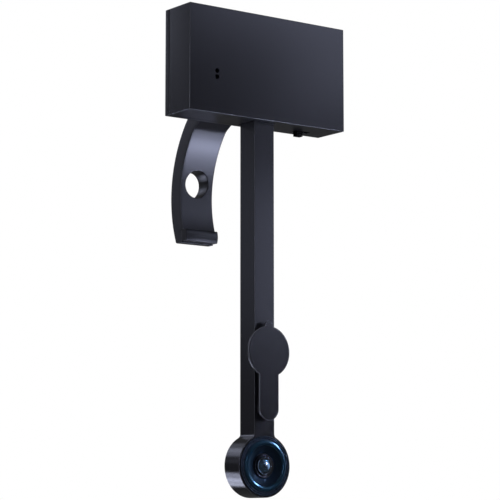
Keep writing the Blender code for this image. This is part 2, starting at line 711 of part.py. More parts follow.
def make_microphones():
    """Two microphones on a small board, sealed to their front holes by a gasket."""
    gasket_front_y = INSIDE_FRONT_Y + GAP
    gasket_rear_y = gasket_front_y + MIC_GASKET_THICKNESS
    top, low = MIC_HOLES_Z[0] + MIC_GASKET_MARGIN, MIC_HOLES_Z[1] - MIC_GASKET_MARGIN
    left, right = MIC_X - MIC_GASKET_HALF_X, MIC_X + MIC_GASKET_HALF_X
    rim = [(left, low), (right, low), (right, top), (left, top)]
    ports = [circle(MIC_X, z, MIC_HOLE_RADIUS) for z in MIC_HOLES_Z]
    gasket = prism("microphone_gasket", [rim, *ports], "front", gasket_front_y, gasket_rear_y)
    dress(gasket, finishes["rubber"])
    can_y = gasket_rear_y + GAP
    for label, z in zip(("upper", "lower"), MIC_HOLES_Z):
        can_low = (MIC_X - MIC_HALF_X, can_y, z - MIC_HALF_Z)
        can = box(f"microphone_{label}", can_low, (MIC_X + MIC_HALF_X, can_y + MIC_THICKNESS, z + MIC_HALF_Z))
        dress(can, finishes["plated_steel"])
    board_y = mic_board_front_y()
    left, right = MIC_X - MIC_BOARD_HALF_X, MIC_X + MIC_BOARD_HALF_X
    low, top = MIC_BOARD_LOW_Z, MIC_BOARD_TOP_Z
    rim = [(left, low), (right, low), (right, top), (left, top)]
    hole = circle(MIC_X, MIC_SCREW_Z, PILOT_RADIUS)
    board = prism("microphone_board", [rim, hole], "front", board_y, board_y + BOARD_THICKNESS)
    dress(board, finishes["circuit_board"])
    head_y = board_y + BOARD_THICKNESS + GAP + PAN_SCREW[1]
    set_screws("microphone_screw", PAN_SCREW, False, {"": (MIC_X, head_y, MIC_SCREW_Z)}, "rear")


def make_microphone_lead():
    """A round lead that arches over the arm, along a rounded super-ellipse, to the main board."""
    curve = bpy.data.curves.new("microphone_lead", "CURVE")
    curve.dimensions = "3D"
    curve.bevel_depth = LEAD_RADIUS
    curve.bevel_resolution = 1
    curve.use_fill_caps = True
    spline = curve.splines.new("POLY")
    spline.points.add(LEAD_POINTS - 1)
    for i, point in enumerate(spline.points):
        share = i / (LEAD_POINTS - 1)
        angle = math.pi * share
        across = -math.copysign(abs(math.cos(angle)) ** (2 / 3), math.cos(angle))
        rise = math.sin(angle) ** (2 / 3)
        y = LEAD_LEFT_Y + (LEAD_RIGHT_Y - LEAD_LEFT_Y) * share
        point.co = (LEAD_REACH * across, y, LEAD_FOOT_Z + (LEAD_CREST_Z - LEAD_FOOT_Z) * rise, 1)
    drawn = place("lead_path", curve)
    lead = place("microphone_lead", settled_mesh(drawn))
    bpy.data.objects.remove(drawn)
    dress(lead, finishes["cable"])


# Drop arm


def arm_outline():
    """The arm's straight sides, small fillets, and the round head, seen from the front."""
    across = ARM_HALF + HEAD_FILLET
    reach = HEAD_RADIUS + HEAD_FILLET
    rise = math.sqrt(reach**2 - across**2)
    lean = math.atan2(rise, across)
    fillet_centre = (across, HEAD_Z + rise)
    fillet = arc(fillet_centre, HEAD_FILLET, math.pi, math.pi + lean, 5)
    head = arc((0, HEAD_Z), HEAD_RADIUS, lean, -math.pi / 2, 22)[1:-1]
    return mirrored([(ARM_HALF, ARM_TOP_Z), *fillet, *head, (0, HEAD_Z - HEAD_RADIUS)])


def make_arm_shell(carrier):
    shell = prism("arm_shell", [arm_outline()], "front", ARM_FRONT_Y, ARM_REAR_Y)
    round_edges(shell, EDGE_ROUND)
    channel_low = (-ARM_CHANNEL_HALF, ARM_FRONT_Y + ARM_FRONT_WALL, HEAD_Z)
    channel_high = (ARM_CHANNEL_HALF, BACK_COVER_FACE_Y - GAP, ARM_TOP_Z + ARM_SIDE)
    subtract(shell, box("arm_channel", channel_low, channel_high))
    recess_half = BACK_COVER_HALF + GAP
    recess_low = (-recess_half, BACK_COVER_FACE_Y - 2 * GAP, HEAD_Z)
    subtract(shell, box("back_recess", recess_low, (recess_half, REAR_Y, BACK_COVER_TOP_Z + GAP)))
    add_head_bore(shell)
    shaft_rear_y = ARM_FRONT_Y + 2 * ARM_FRONT_WALL
    subtract(shell, rod_along_y("shaft_hole", COVER_SHAFT_HOLE, 0, COVER_PIVOT_Z, FRONT_Y, shaft_rear_y))
    dress(shell, finishes["shell"], carrier)


def add_head_bore(shell):
    """Bores the head from both sides, leaving a ledge, and adds two pillars for the back screws."""
    front_y, ledge_y = ARM_FRONT_Y + HEAD_LEDGE_FRONT, ARM_FRONT_Y + HEAD_LEDGE_REAR
    ledge_middle_y = (front_y + ledge_y) / 2
    subtract(shell, rod_along_y("front_bore", HEAD_BORE, 0, HEAD_Z, FRONT_Y, front_y, FINE_STEPS))
    subtract(shell, rod_along_y("rear_bore", HEAD_BORE, 0, HEAD_Z, ledge_y, REAR_Y, FINE_STEPS))
    subtract(shell, rod_along_y("ledge_bore", HEAD_LEDGE_BORE, 0, HEAD_Z, FRONT_Y, REAR_Y, FINE_STEPS))
    pillar_rear_y = BACK_COVER_FACE_Y - GAP
    for x in (-BACK_SCREW_X, BACK_SCREW_X):
        unite(shell, rod_along_y("back_pillar", BACK_PILLAR_RADIUS, x, HEAD_Z, ledge_middle_y, pillar_rear_y))
        subtract(shell, rod_along_y("back_pilot", BACK_PILOT_RADIUS, x, HEAD_Z, ledge_y, REAR_Y))


def make_arm_back_cover(carrier):
    """The strip and disc that close the arm's channel and the head from behind."""
    radius = HEAD_BORE - GAP
    meet = math.acos(BACK_COVER_HALF / radius)
    disc = arc((0, HEAD_Z), radius, meet, -math.pi / 2, 22)
    half = [(BACK_COVER_HALF, BACK_COVER_TOP_Z), *disc[:-1], (0, HEAD_Z - radius)]
    cover = prism("arm_back_cover", [mirrored(half)], "front", BACK_COVER_FACE_Y, ARM_REAR_Y)
    places = {"left": (-BACK_SCREW_X, ARM_REAR_Y, HEAD_Z), "right": (BACK_SCREW_X, ARM_REAR_Y, HEAD_Z)}
    for x, y, z in places.values():
        subtract(cover, countersink("back_sink", x, y, z, BACK_SCREW, ARM_SIDE / 2))
    dress(cover, finishes["shell"], carrier)
    set_screws("back_cover_screw", BACK_SCREW, True, places, "rear", carrier)


def make_arm_stop(carrier):
    """A cap on the arm's top end. Its rim stops on the guide when the arm is all the way down."""
    low_z = GUIDE_TOP_Z + GAP
    top_z = ARM_TOP_Z + GAP + STOP_ROOF
    front_y, rear_y = INSIDE_FRONT_Y + GAP, SEAM_Y - GAP
    stop = box("arm_stop", (-ARM_HALF - STOP_SIDE, front_y, low_z), (ARM_HALF + STOP_SIDE, rear_y, top_z))
    socket_low = (-ARM_HALF - GAP, ARM_FRONT_Y - GAP, 0)
    subtract(stop, box("stop_socket", socket_low, (ARM_HALF + GAP, ARM_REAR_Y + GAP, ARM_TOP_Z + GAP)))
    slit = RIBBON_THICKNESS + 2 * GAP
    slit_low = (-RIBBON_HALF - GAP, RIBBON_Y - slit / 2, ARM_TOP_Z)
    subtract(stop, box("ribbon_slit", slit_low, (RIBBON_HALF + GAP, RIBBON_Y + slit / 2, top_z + GAP)))
    dress(stop, finishes["slide_plastic"], carrier)


def make_ribbon(carrier):
    """The flat cable in the arm's channel, and its sockets on both boards."""
    half = RIBBON_THICKNESS / 2
    top_z = ARM_TOP_Z + GAP + STOP_ROOF
    low = (-RIBBON_HALF, RIBBON_Y - half, RIBBON_LOW_Z)
    dress(box("ribbon_cable", low, (RIBBON_HALF, RIBBON_Y + half, top_z)), finishes["cable"], carrier)
    socket_front_y = ARM_FRONT_Y + HEAD_LEDGE_REAR + GAP + BOARD_THICKNESS + GAP
    socket_rear_y = RIBBON_Y - half - GAP
    socket_half = RIBBON_HALF + GAP
    socket_low = (-socket_half, socket_front_y, RIBBON_LOW_Z)
    socket = box("camera_socket", socket_low, (socket_half, socket_rear_y, RIBBON_LOW_Z + ARM_HALF))
    dress(socket, finishes["chip"], carrier)


def make_ribbon_loop():
    """The slack of the cable above the arm, arched over to a socket on the main board."""
    start_z = ARM_TOP_Z + 2 * GAP + STOP_ROOF
    turn = LOOP_RADIUS / 2
    end_x = MAIN_BOARD_LEFT_X + STOP_ROOF
    arch = arc((LOOP_RADIUS, LOOP_CREST_Z), LOOP_RADIUS, math.pi, 0, 13)
    foot = arc((2 * LOOP_RADIUS + turn, LOOP_END_Z + turn), turn, math.pi, 3 * math.pi / 2, 6)
    path = [(0, start_z), *arch, *foot, (end_x, LOOP_END_Z)]
    rear_y = LOOP_FRONT_Y + LOOP_WIDTH
    loop = prism("ribbon_loop", [strip_outline(path, RIBBON_THICKNESS)], "front", LOOP_FRONT_Y, rear_y)
    dress(loop, finishes["cable"])
    socket_low = (end_x + GAP, MAIN_BOARD_REAR_Y + GAP, LOOP_END_Z - turn)
    socket_high = (end_x + GAP + LOOP_RADIUS, LOOP_FRONT_Y + LOOP_WIDTH, LOOP_END_Z + turn)
    dress(box("ribbon_socket", socket_low, socket_high), finishes["chip"])


# Camera module in the head


def on_head(name, profile, finish, carrier, closed):
    """A turned piece on the lens axis, its heights measured forward from the head's front face."""
    obj = turned(name, profile, (0, ARM_FRONT_Y, HEAD_Z), "front", closed)
    dress(obj, finishes[finish], carrier)


def make_bezel_ring(carrier):
    outer = BEZEL_RADIUS - BEZEL_CREST_RADIUS
    inner = BEZEL_CREST_RADIUS - BEZEL_BORE
    rise, lip = BEZEL_CREST - BEZEL_SHOULDER, BEZEL_CREST - BAFFLE_LIP
    quarter = [math.pi / 2 * i / 6 for i in range(7)]
    down = [
        (BEZEL_CREST_RADIUS + outer * math.sin(a), BEZEL_SHOULDER + rise * math.cos(a))
        for a in quarter
    ]
    up = [
        (BEZEL_CREST_RADIUS - inner * math.cos(a), BAFFLE_LIP + lip * math.sin(a))
        for a in quarter[:-1]
    ]
    rear = -HEAD_LEDGE_FRONT + GAP
    profile = [*down, (BEZEL_RADIUS, rear), (BEZEL_BORE, rear), *up]
    on_head("bezel_ring", profile, "bezel", carrier, True)


def make_lens_baffle(carrier):
    span, rise = BAFFLE_RADIUS - BAFFLE_BORE, BAFFLE_LIP - BAFFLE_FLOOR
    steps = [i / 5 for i in range(6)]
    bowl = [(BAFFLE_BORE + span * s, BAFFLE_FLOOR + rise * s**1.6) for s in steps]
    profile = [bowl[-1], (BAFFLE_RADIUS, BAFFLE_REAR), (BAFFLE_BORE, BAFFLE_REAR), *bowl[:-1]]
    on_head("lens_baffle", profile, "lens_black", carrier, True)


def make_lens_barrel(carrier):
    ring_foot, chamfer = 0.05 * MM, 0.2 * MM
    profile = [
        (BARREL_RING_RADIUS, BARREL_RING_TOP),
        (BARREL_RING_RADIUS, ring_foot),
        (BARREL_FLANGE_RADIUS, -ring_foot),
        (BARREL_FLANGE_RADIUS, BAFFLE_REAR),
        (BARREL_TUBE_RADIUS, BAFFLE_REAR),
        (BARREL_TUBE_RADIUS, BARREL_TUBE_REAR),
        (REAR_LENS_RADIUS + GAP, BARREL_TUBE_REAR),
        (REAR_LENS_RADIUS + GAP, BARREL_SEAT),
        (LENS_SEAT_RADIUS, BARREL_SEAT),
        (LENS_SEAT_RADIUS, BARREL_RING_TOP - chamfer),
        (LENS_SEAT_RADIUS + chamfer, BARREL_RING_TOP),
    ]
    on_head("lens_barrel", profile, "lens_black", carrier, True)


def make_lenses(carrier):
    sag = LENS_CREST - LENS_RIM
    ball = (LENS_RADIUS**2 + sag**2) / (2 * sag)
    radii = [LENS_RADIUS * i / 6 for i in range(7)]
    dome = [(r, LENS_CREST - ball + math.sqrt(ball**2 - r**2)) for r in radii]
    on_head("front_lens", [*dome, (LENS_RADIUS, LENS_REAR), (0, LENS_REAR)], "lens_glass", carrier, False)
    top = BARREL_SEAT - GAP / 2
    rear = top - REAR_LENS_THICKNESS
    disc = [(0, top), (REAR_LENS_RADIUS, top), (REAR_LENS_RADIUS, rear), (0, rear)]
    on_head("rear_lens", disc, "lens_glass", carrier, False)


def head_block(name, half, front, rear):
    """A square block on the lens axis between two heights measured forward from the head's face."""
    low = (-half, ARM_FRONT_Y - front, HEAD_Z - half)
    return box(name, low, (half, ARM_FRONT_Y - rear, HEAD_Z + half))


def make_camera_module(carrier):
    holder = head_block("lens_holder", HOLDER_HALF, HOLDER_FRONT, HOLDER_REAR)
    bore_rear_y = ARM_FRONT_Y - HOLDER_STEP + GAP
    subtract(holder, rod_along_y("holder_bore", HOLDER_BORE, 0, HEAD_Z, ARM_FRONT_Y, bore_rear_y))
    subtract(holder, head_block("holder_inside", SENSOR_HALF + GAP, HOLDER_STEP, HOLDER_REAR - GAP))
    dress(holder, finishes["lens_black"], carrier)
    filter_front = HOLDER_STEP - GAP
    filter_rear = filter_front - FILTER_THICKNESS
    dress(head_block("filter_glass", SENSOR_HALF, filter_front, filter_rear), finishes["lens_glass"], carrier)
    sensor_rear = HOLDER_REAR
    sensor = head_block("image_sensor", SENSOR_HALF, sensor_rear + SENSOR_THICKNESS, sensor_rear)
    dress(sensor, finishes["chip"], carrier)
    board_front = HOLDER_REAR - GAP
    board = head_block("camera_board", CAMERA_BOARD_HALF, board_front, board_front - BOARD_THICKNESS)
    dress(board, finishes["circuit_board"], carrier)


# Lens cover


def cover_outline():
    """A disc with a thumb nub above it and a straight, round-ended tail below it."""
    disc_centre, tail_centre = (0, COVER_Z), (0, COVER_PIVOT_Z)
    nub_z = COVER_Z + COVER_RADIUS
    half_chord = math.asin(COVER_NUB_RADIUS / (2 * COVER_RADIUS))
    nub = arc((0, nub_z), COVER_NUB_RADIUS, math.pi / 2, -half_chord, 8)
    tail_meet = math.asin(COVER_TAIL_HALF / COVER_RADIUS) - math.pi / 2
    disc = arc(disc_centre, COVER_RADIUS, math.pi / 2 - 2 * half_chord, tail_meet, 22)
    tail = arc(tail_centre, COVER_TAIL_HALF, 0, -math.pi / 2, 9)
    return mirrored([(0, nub_z + COVER_NUB_RADIUS), *nub[1:], *disc[1:], *tail[:-1], (0, tail[-1][1])])


def make_lens_cover(carrier):
    rear_y = FRONT_Y + COVER_THICKNESS
    cover = prism("lens_cover", [cover_outline()], "front", FRONT_Y, rear_y)
    round_edges(cover, COVER_EDGE)
    dress(cover, finishes["cover"], carrier)
    make_cover_post(carrier, rear_y + GAP)
    washer_y = ARM_FRONT_Y + ARM_FRONT_WALL + GAP
    rings = [circle(0, COVER_PIVOT_Z, COVER_WASHER_RADIUS), circle(0, COVER_PIVOT_Z, COVER_SHAFT_HOLE)]
    washer = prism("cover_washer", rings, "front", washer_y, washer_y + COVER_WASHER_THICKNESS)
    dress(washer, finishes["spring_steel"], carrier)
    head_y = COVER_SHAFT_REAR_Y + GAP + COVER_SCREW[1]
    set_screws("cover_screw", COVER_SCREW, False, {"": (0, head_y, COVER_PIVOT_Z)}, "rear", carrier)


def make_cover_post(carrier, front_y):
    """A flange between the cover and the arm, on a shaft through the arm's front wall."""
    flange_rear = ARM_FRONT_Y - GAP - front_y
    shaft_rear = COVER_SHAFT_REAR_Y - front_y
    bore, bore_depth = COVER_SCREW[2] + GAP, COVER_SCREW[3]
    profile = [
        (0, 0),
        (COVER_POST_RADIUS, 0),
        (COVER_POST_RADIUS, -flange_rear),
        (COVER_SHAFT_RADIUS, -flange_rear),
        (COVER_SHAFT_RADIUS, -shaft_rear),
        (bore, -shaft_rear),
        (bore, bore_depth - shaft_rear),
        (0, bore_depth - shaft_rear),
    ]
    post = turned("cover_post", profile, (0, front_y, COVER_PIVOT_Z), "front", steps=32)
    dress(post, finishes["shell"], carrier)


# Hook and its hinge


def hook_point(radius, angle):
    return HOOK_CENTRE_Y + radius * math.cos(angle), HOOK_CENTRE_Z + radius * math.sin(angle)


def hook_bend():
    """The inner face's tight bend, and the straight that runs from it into the hinge's knuckle."""
    middle = hook_point(HOOK_INNER_RADIUS - HOOK_BEND_RADIUS, HOOK_BEND_ANGLE)
    away_y, away_z = HINGE_Y - middle[0], HINGE_Z - middle[1]
    sunk = KNUCKLE_RADIUS - HOOK_ROOT_SINK
    lean = math.acos((HOOK_BEND_RADIUS + sunk) / math.hypot(away_y, away_z))
    end = math.atan2(away_z, away_y) - lean
    root = (HINGE_Y - sunk * math.cos(end), HINGE_Z - sunk * math.sin(end))
    return [*arc(middle, HOOK_BEND_RADIUS, HOOK_BEND_ANGLE, end, 7)[1:], root]


def hook_outline():
    """The strip between two arcs, from the hinge down to a tip with a rounded rear corner."""
    centre = (HOOK_CENTRE_Y, HOOK_CENTRE_Z)
    root = math.atan2(HINGE_Z - HOOK_CENTRE_Z, HINGE_Y - HOOK_CENTRE_Y)
    outer_end = math.asin((HOOK_TIP_Z + HOOK_TIP_ROUND - HOOK_CENTRE_Z) / HOOK_OUTER_RADIUS)
    inner_end = math.asin((HOOK_TIP_Z + HOOK_TIP_CHAMFER - HOOK_CENTRE_Z) / HOOK_INNER_RADIUS)
    outer = arc(centre, HOOK_OUTER_RADIUS, root, outer_end, 27)
    corner_y, corner_z = outer[-1]
    corner_centre = (corner_y - HOOK_TIP_ROUND, corner_z)
    corner = arc(corner_centre, HOOK_TIP_ROUND, 0, -math.pi / 2, 5)[1:]
    inner = arc(centre, HOOK_INNER_RADIUS, inner_end, HOOK_BEND_ANGLE, 23)
    chamfer = (inner[0][0] + 2 * HOOK_TIP_CHAMFER, HOOK_TIP_Z)
    return [*outer, *corner, chamfer, *inner, *hook_bend()]


def make_hook(carrier):
    hook = prism("hook", [hook_outline()], "right", -HOOK_HALF, HOOK_HALF)
    round_edges(hook, EDGE_ROUND)
    axis_low, axis_high = (-HOOK_HALF, HINGE_Y, HINGE_Z), (HOOK_HALF, HINGE_Y, HINGE_Z)
    unite(hook, rod("hook_knuckle", KNUCKLE_RADIUS, axis_low, axis_high, 32))
    bore_low, bore_high = (-HOOK_WIDTH, HINGE_Y, HINGE_Z), (HOOK_WIDTH, HINGE_Y, HINGE_Z)
    subtract(hook, rod("hook_bore", PIN_RADIUS + GAP, bore_low, bore_high))
    hole_y, hole_z = hook_point(HINGE_RADIUS, HOOK_HOLE_ANGLE)
    near_y, far_y = hole_y - HOOK_WIDTH, hole_y + HOOK_WIDTH
    subtract(hook, rod_along_y("hook_hole", HOOK_HOLE_RADIUS, 0, hole_z, near_y, far_y, 32))
    seat_y = PAD_FRONT_Y + PAD_DEPTH + GAP
    seat_low = (-HOOK_WIDTH, 0, HOOK_TIP_Z - HOOK_TIP_ROUND)
    subtract(hook, box("pad_seat", seat_low, (HOOK_WIDTH, seat_y, PAD_TOP_Z + GAP)))
    dress(hook, finishes["hook"], carrier)


def make_hook_pad(carrier):
    """A pad with a gently round front, seated in the hook's tip."""
    half_height = (PAD_TOP_Z - PAD_LOW_Z) / 2
    middle_z = (PAD_TOP_Z + PAD_LOW_Z) / 2
    radius = (half_height**2 + PAD_BULGE**2) / (2 * PAD_BULGE)
    sweep = math.asin(half_height / radius)
    front = arc((PAD_FRONT_Y + radius, middle_z), radius, math.pi - sweep, math.pi + sweep, 9)
    rear_y = PAD_FRONT_Y + PAD_DEPTH
    outline = [*front, (rear_y, PAD_LOW_Z), (rear_y, PAD_TOP_Z)]
    pad = prism("hook_pad", [outline], "right", -HOOK_HALF, HOOK_HALF)
    round_edges(pad, EDGE_ROUND)
    dress(pad, finishes["pad"], carrier)


def make_hinge_bracket():
    """A plate on the rear cover with two round-ended lugs for the hinge pin."""
    front_y = REAR_Y + GAP
    rear_y = front_y + BRACKET_THICKNESS
    low, top = HINGE_Z - BRACKET_HALF_HEIGHT, HINGE_Z + BRACKET_HALF_HEIGHT
    bracket = box("hinge_bracket", (-BRACKET_HALF_WIDTH, front_y, low), (BRACKET_HALF_WIDTH, rear_y, top))
    end = arc((HINGE_Y, HINGE_Z), LUG_RADIUS, -math.pi / 2, math.pi / 2, 13)
    foot_y = front_y + BRACKET_THICKNESS / 2
    lug = [*end, (foot_y, HINGE_Z + LUG_RADIUS), (foot_y, HINGE_Z - LUG_RADIUS)]
    hole = circle(HINGE_Y, HINGE_Z, PIN_RADIUS + GAP)
    unite(bracket, prism("left_lug", [lug, hole], "right", -LUG_OUTER_X, -LUG_INNER_X))
    unite(bracket, prism("right_lug", [lug, hole], "right", LUG_INNER_X, LUG_OUTER_X))
    places = {}
    for label, x in (("left", -BRACKET_SCREW_X), ("right", BRACKET_SCREW_X)):
        subtract(bracket, rod_along_y("bracket_hole", PILOT_RADIUS, x, HINGE_Z, REAR_Y, rear_y + GAP))
        places[label] = (x, rear_y + GAP + PAN_SCREW[1], HINGE_Z)
    dress(bracket, finishes["bracket"])
    set_screws("bracket_screw", PAN_SCREW, False, places, "rear")


def make_hinge_pin(carrier):
    """The headed pin, its nut, and a washer on each side of the hook's knuckle."""
    head_x = -LUG_OUTER_X - GAP
    nut_x = LUG_OUTER_X + GAP
    tail_x = nut_x + NUT_LENGTH + PIN_TAIL
    shank_left = (head_x - PIN_HEAD_LENGTH / 2, HINGE_Y, HINGE_Z)
    pin = rod("hinge_pin", PIN_RADIUS, shank_left, (tail_x, HINGE_Y, HINGE_Z))
    head_left = (head_x - PIN_HEAD_LENGTH, HINGE_Y, HINGE_Z)
    unite(pin, rod("pin_head", PIN_HEAD_RADIUS, head_left, (head_x, HINGE_Y, HINGE_Z), 24))
    dress(pin, finishes["screw"], carrier)
    hole = circle(HINGE_Y, HINGE_Z, PIN_RADIUS + GAP)
    hexagon = circle(HINGE_Y, HINGE_Z, PIN_HEAD_RADIUS, 6)
    nut = prism("hinge_nut", [hexagon, hole], "right", nut_x, nut_x + NUT_LENGTH)
    dress(nut, finishes["screw"], carrier)
    rings = [circle(HINGE_Y, HINGE_Z, WASHER_RADIUS), hole]
    for label, side in (("left", -1), ("right", 1)):
        near, far = side * (HOOK_HALF + GAP), side * (LUG_INNER_X - GAP)
        washer = prism(f"friction_washer_{label}", rings, "right", min(near, far), max(near, far))
        dress(washer, finishes["washer"], carrier)


def make_finishes():
    dark = (0.024, 0.025, 0.031)
    return {
        "shell": make_finish("satin_shell", dark, 0.45),
        "cover": make_finish("cover_plate", (0.026, 0.027, 0.033), 0.4),
        "hook": make_finish("hook_strip", dark, 0.35),
        "pad": make_finish("hook_pad", (0.02, 0.02, 0.025), 0.6),
        "knob": make_finish("black_knob", (0.004, 0.004, 0.005), 0.5),
        "bezel": make_finish("bezel_gloss", (0.012, 0.016, 0.026), 0.18),
        "lens_black": make_finish("lens_black", (0.004, 0.005, 0.008), 0.3),
        "lens_glass": make_finish("coated_glass", (0.01, 0.02, 0.05), 0.03),
        "slide_plastic": make_finish("slide_plastic", (0.55, 0.54, 0.5), 0.4),
        "rubber": make_finish("rubber", (0.012, 0.012, 0.012), 0.85),
        "spring_steel": make_finish("spring_steel", (0.55, 0.54, 0.5), 0.3, 1.0),
        "plated_steel": make_finish("plated_steel", (0.6, 0.6, 0.62), 0.25, 1.0),
        "screw": make_finish("black_screw", (0.03, 0.03, 0.032), 0.35, 1.0),
        "bracket": make_finish("black_steel", (0.022, 0.022, 0.025), 0.4, 0.6),
        "washer": make_finish("washer_plastic", (0.05, 0.05, 0.052), 0.5),
        "circuit_board": make_finish("circuit_board", (0.01, 0.08, 0.03), 0.4),
        "chip": make_finish("chip_black", (0.012, 0.012, 0.013), 0.4),
        "cable": make_finish("cable", (0.25, 0.14, 0.03), 0.4),
    }


def make_camera():
    make_housing_shell()
    make_rear_cover()
    make_rear_screws()
    make_arm_guide()
    make_brake()
    make_main_board()
    make_usb_socket()
    make_microphones()
    make_microphone_lead()
    make_ribbon_loop()
    make_hinge_bracket()

    make_switch(pivot("switch_slide", (KNOB_X, SWITCH_Y, 0)))

    arm = pivot("arm_slide", (0, (ARM_FRONT_Y + ARM_REAR_Y) / 2, 0))
    make_arm_shell(arm)
    make_arm_back_cover(arm)
    make_arm_stop(arm)
    make_ribbon(arm)
    make_bezel_ring(arm)
    make_lens_baffle(arm)
    make_lens_barrel(arm)
    make_lenses(arm)
    make_camera_module(arm)

    make_lens_cover(pivot("cover_swing", (0, FRONT_Y, COVER_PIVOT_Z), arm))

    hook = pivot("hook_hinge", (0, HINGE_Y, HINGE_Z))
    make_hook(hook)
    make_hook_pad(hook)
    make_hinge_pin(hook)


clear_scene()
parts = make_collection("monitor_hung_camera")
cutters = make_collection("cutters")
finishes = make_finishes()
make_camera()
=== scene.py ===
"""Looks for a monitor-hung camera: a slim box, a rear hook, a drop arm and a round lens head.

Metres, +Z up, front towards -Y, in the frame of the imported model.
"""

import json
import math

import bmesh
import bpy
import numpy as np
from bpy.props import FloatProperty, FloatVectorProperty, PointerProperty
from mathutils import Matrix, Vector

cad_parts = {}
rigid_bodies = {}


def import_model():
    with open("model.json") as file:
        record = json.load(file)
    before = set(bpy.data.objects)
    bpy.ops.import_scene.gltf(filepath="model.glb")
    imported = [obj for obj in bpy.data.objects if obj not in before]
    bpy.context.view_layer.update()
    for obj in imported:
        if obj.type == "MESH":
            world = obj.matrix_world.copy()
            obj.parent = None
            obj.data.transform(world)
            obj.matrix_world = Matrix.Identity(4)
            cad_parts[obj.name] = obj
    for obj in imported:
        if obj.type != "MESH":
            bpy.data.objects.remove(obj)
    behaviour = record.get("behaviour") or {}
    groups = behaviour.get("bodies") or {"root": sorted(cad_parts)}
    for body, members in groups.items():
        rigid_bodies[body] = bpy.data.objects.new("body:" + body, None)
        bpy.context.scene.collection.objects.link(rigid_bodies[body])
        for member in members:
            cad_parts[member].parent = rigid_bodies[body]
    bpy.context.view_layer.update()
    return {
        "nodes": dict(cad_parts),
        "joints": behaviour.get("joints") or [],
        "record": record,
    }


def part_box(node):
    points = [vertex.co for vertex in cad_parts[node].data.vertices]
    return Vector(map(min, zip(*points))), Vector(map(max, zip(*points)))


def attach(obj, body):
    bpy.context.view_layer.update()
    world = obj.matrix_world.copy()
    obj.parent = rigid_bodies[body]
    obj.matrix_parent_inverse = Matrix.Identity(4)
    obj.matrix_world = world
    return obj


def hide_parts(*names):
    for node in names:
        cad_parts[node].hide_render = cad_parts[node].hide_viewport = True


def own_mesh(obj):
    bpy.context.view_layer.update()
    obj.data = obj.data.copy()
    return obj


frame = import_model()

bl_info = {
    "name": "Monitor-hung camera",
    "version": (1, 0, 0),
    "blender": (4, 5, 0),
    "location": "3D View > Sidebar > Camera",
    "description": "Builds the visible surfaces and finishes of a camera that hangs on a screen",
    "category": "Object",
}

MM = 0.001
SMOOTH_ANGLE = math.radians(32)
EDGE_MARK = "edge"


# Surfaces


def weld(name, patches):
    """One mesh from grids of points: each grid's neighbours make quads, and shared edges merge.

    A grid is an array of rows x columns x 3. Rows that shrink to a point close a pole.
    """
    points, quads, start = [], [], 0
    for grid in patches:
        rows, columns = grid.shape[:2]
        index = np.arange(rows * columns).reshape(rows, columns) + start
        around = (index[:-1, :-1], index[1:, :-1], index[1:, 1:], index[:-1, 1:])
        quads.append(np.stack(around, -1).reshape(-1, 4))
        points.append(np.asarray(grid, float).reshape(-1, 3))
        start += rows * columns
    mesh = bpy.data.meshes.new(name)
    mesh.from_pydata(np.concatenate(points).tolist(), [], np.concatenate(quads).tolist())
    shape = bmesh.new()
    shape.from_mesh(mesh)
    bmesh.ops.remove_doubles(shape, verts=shape.verts, dist=1e-6)
    bmesh.ops.recalc_face_normals(shape, faces=shape.faces)
    shape.to_mesh(mesh)
    shape.free()
    mesh.shade_smooth()
    mesh.set_sharp_from_angle(angle=SMOOTH_ANGLE)
    return mesh


def add_piece(mesh, body, finish, replaced=()):
    """Puts a finished mesh in the scene on its body, with its material and the nodes it stands for."""
    piece = bpy.data.objects.new(mesh.name, mesh)
    bpy.context.scene.collection.objects.link(piece)
    mesh.materials.clear()
    mesh.materials.append(finish)
    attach(piece, body)
    if replaced:
        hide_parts(*replaced)
    return piece


def merged_copy(node, name, reshape=None):
    """A CAD node's triangles with their shared corners merged, so that round faces shade smoothly.

    A function may move the points before the mesh is made.
    """
    source = frame["nodes"][node].data
    points = corners(source)
    loops = np.empty(len(source.loops), int)
    source.loops.foreach_get("vertex_index", loops)
    keys = np.round(points * 1e6).astype(int)
    _, first, merged = np.unique(keys, axis=0, return_index=True, return_inverse=True)
    faces = merged.reshape(-1)[loops].reshape(-1, 3)
    points = points[first]
    if reshape:
        points = reshape(points)
    mesh = bpy.data.meshes.new(name)
    mesh.from_pydata(points.tolist(), [], faces.tolist())
    mesh.shade_smooth()
    mesh.set_sharp_from_angle(angle=math.radians(50))
    mark_edges(mesh, points, faces)
    return mesh


def mark_edges(mesh, points, faces):
    """Writes an attribute that is 1 along the middle of each rounded edge and 0 elsewhere.

    A corner's normal is the sum of its faces' normals, each as long as the face's area. Where every
    face leans away from it by more than an eighth of a right angle, and none of them lies square to
    an axis, the corner lies on an edge.
    """
    a, b, c = points[faces.T]
    normals = np.cross(b - a, c - a)
    areas = np.linalg.norm(normals, axis=1, keepdims=True)
    summed = np.zeros_like(points)
    for corner in range(3):
        np.add.at(summed, faces[:, corner], normals)
    summed /= np.linalg.norm(summed, axis=1, keepdims=True)
    unit_normals = normals / areas
    square = np.abs(unit_normals).max(1) > 0.996
    nearest = np.full(len(points), -1.0)
    for corner in range(3):
        facing = np.sum(unit_normals * summed[faces[:, corner]], -1)
        np.maximum.at(nearest, faces[:, corner], np.where(square, 1.0, facing))
    mark = (nearest < math.cos(math.pi / 16)).astype(np.float32)
    mesh.attributes.new(EDGE_MARK, "FLOAT", "POINT").data.foreach_set("value", mark)


def corners(mesh):
    """A mesh's points as an array of rows of three."""
    points = np.empty(len(mesh.vertices) * 3)
    mesh.vertices.foreach_get("co", points)
    return points.reshape(-1, 3)


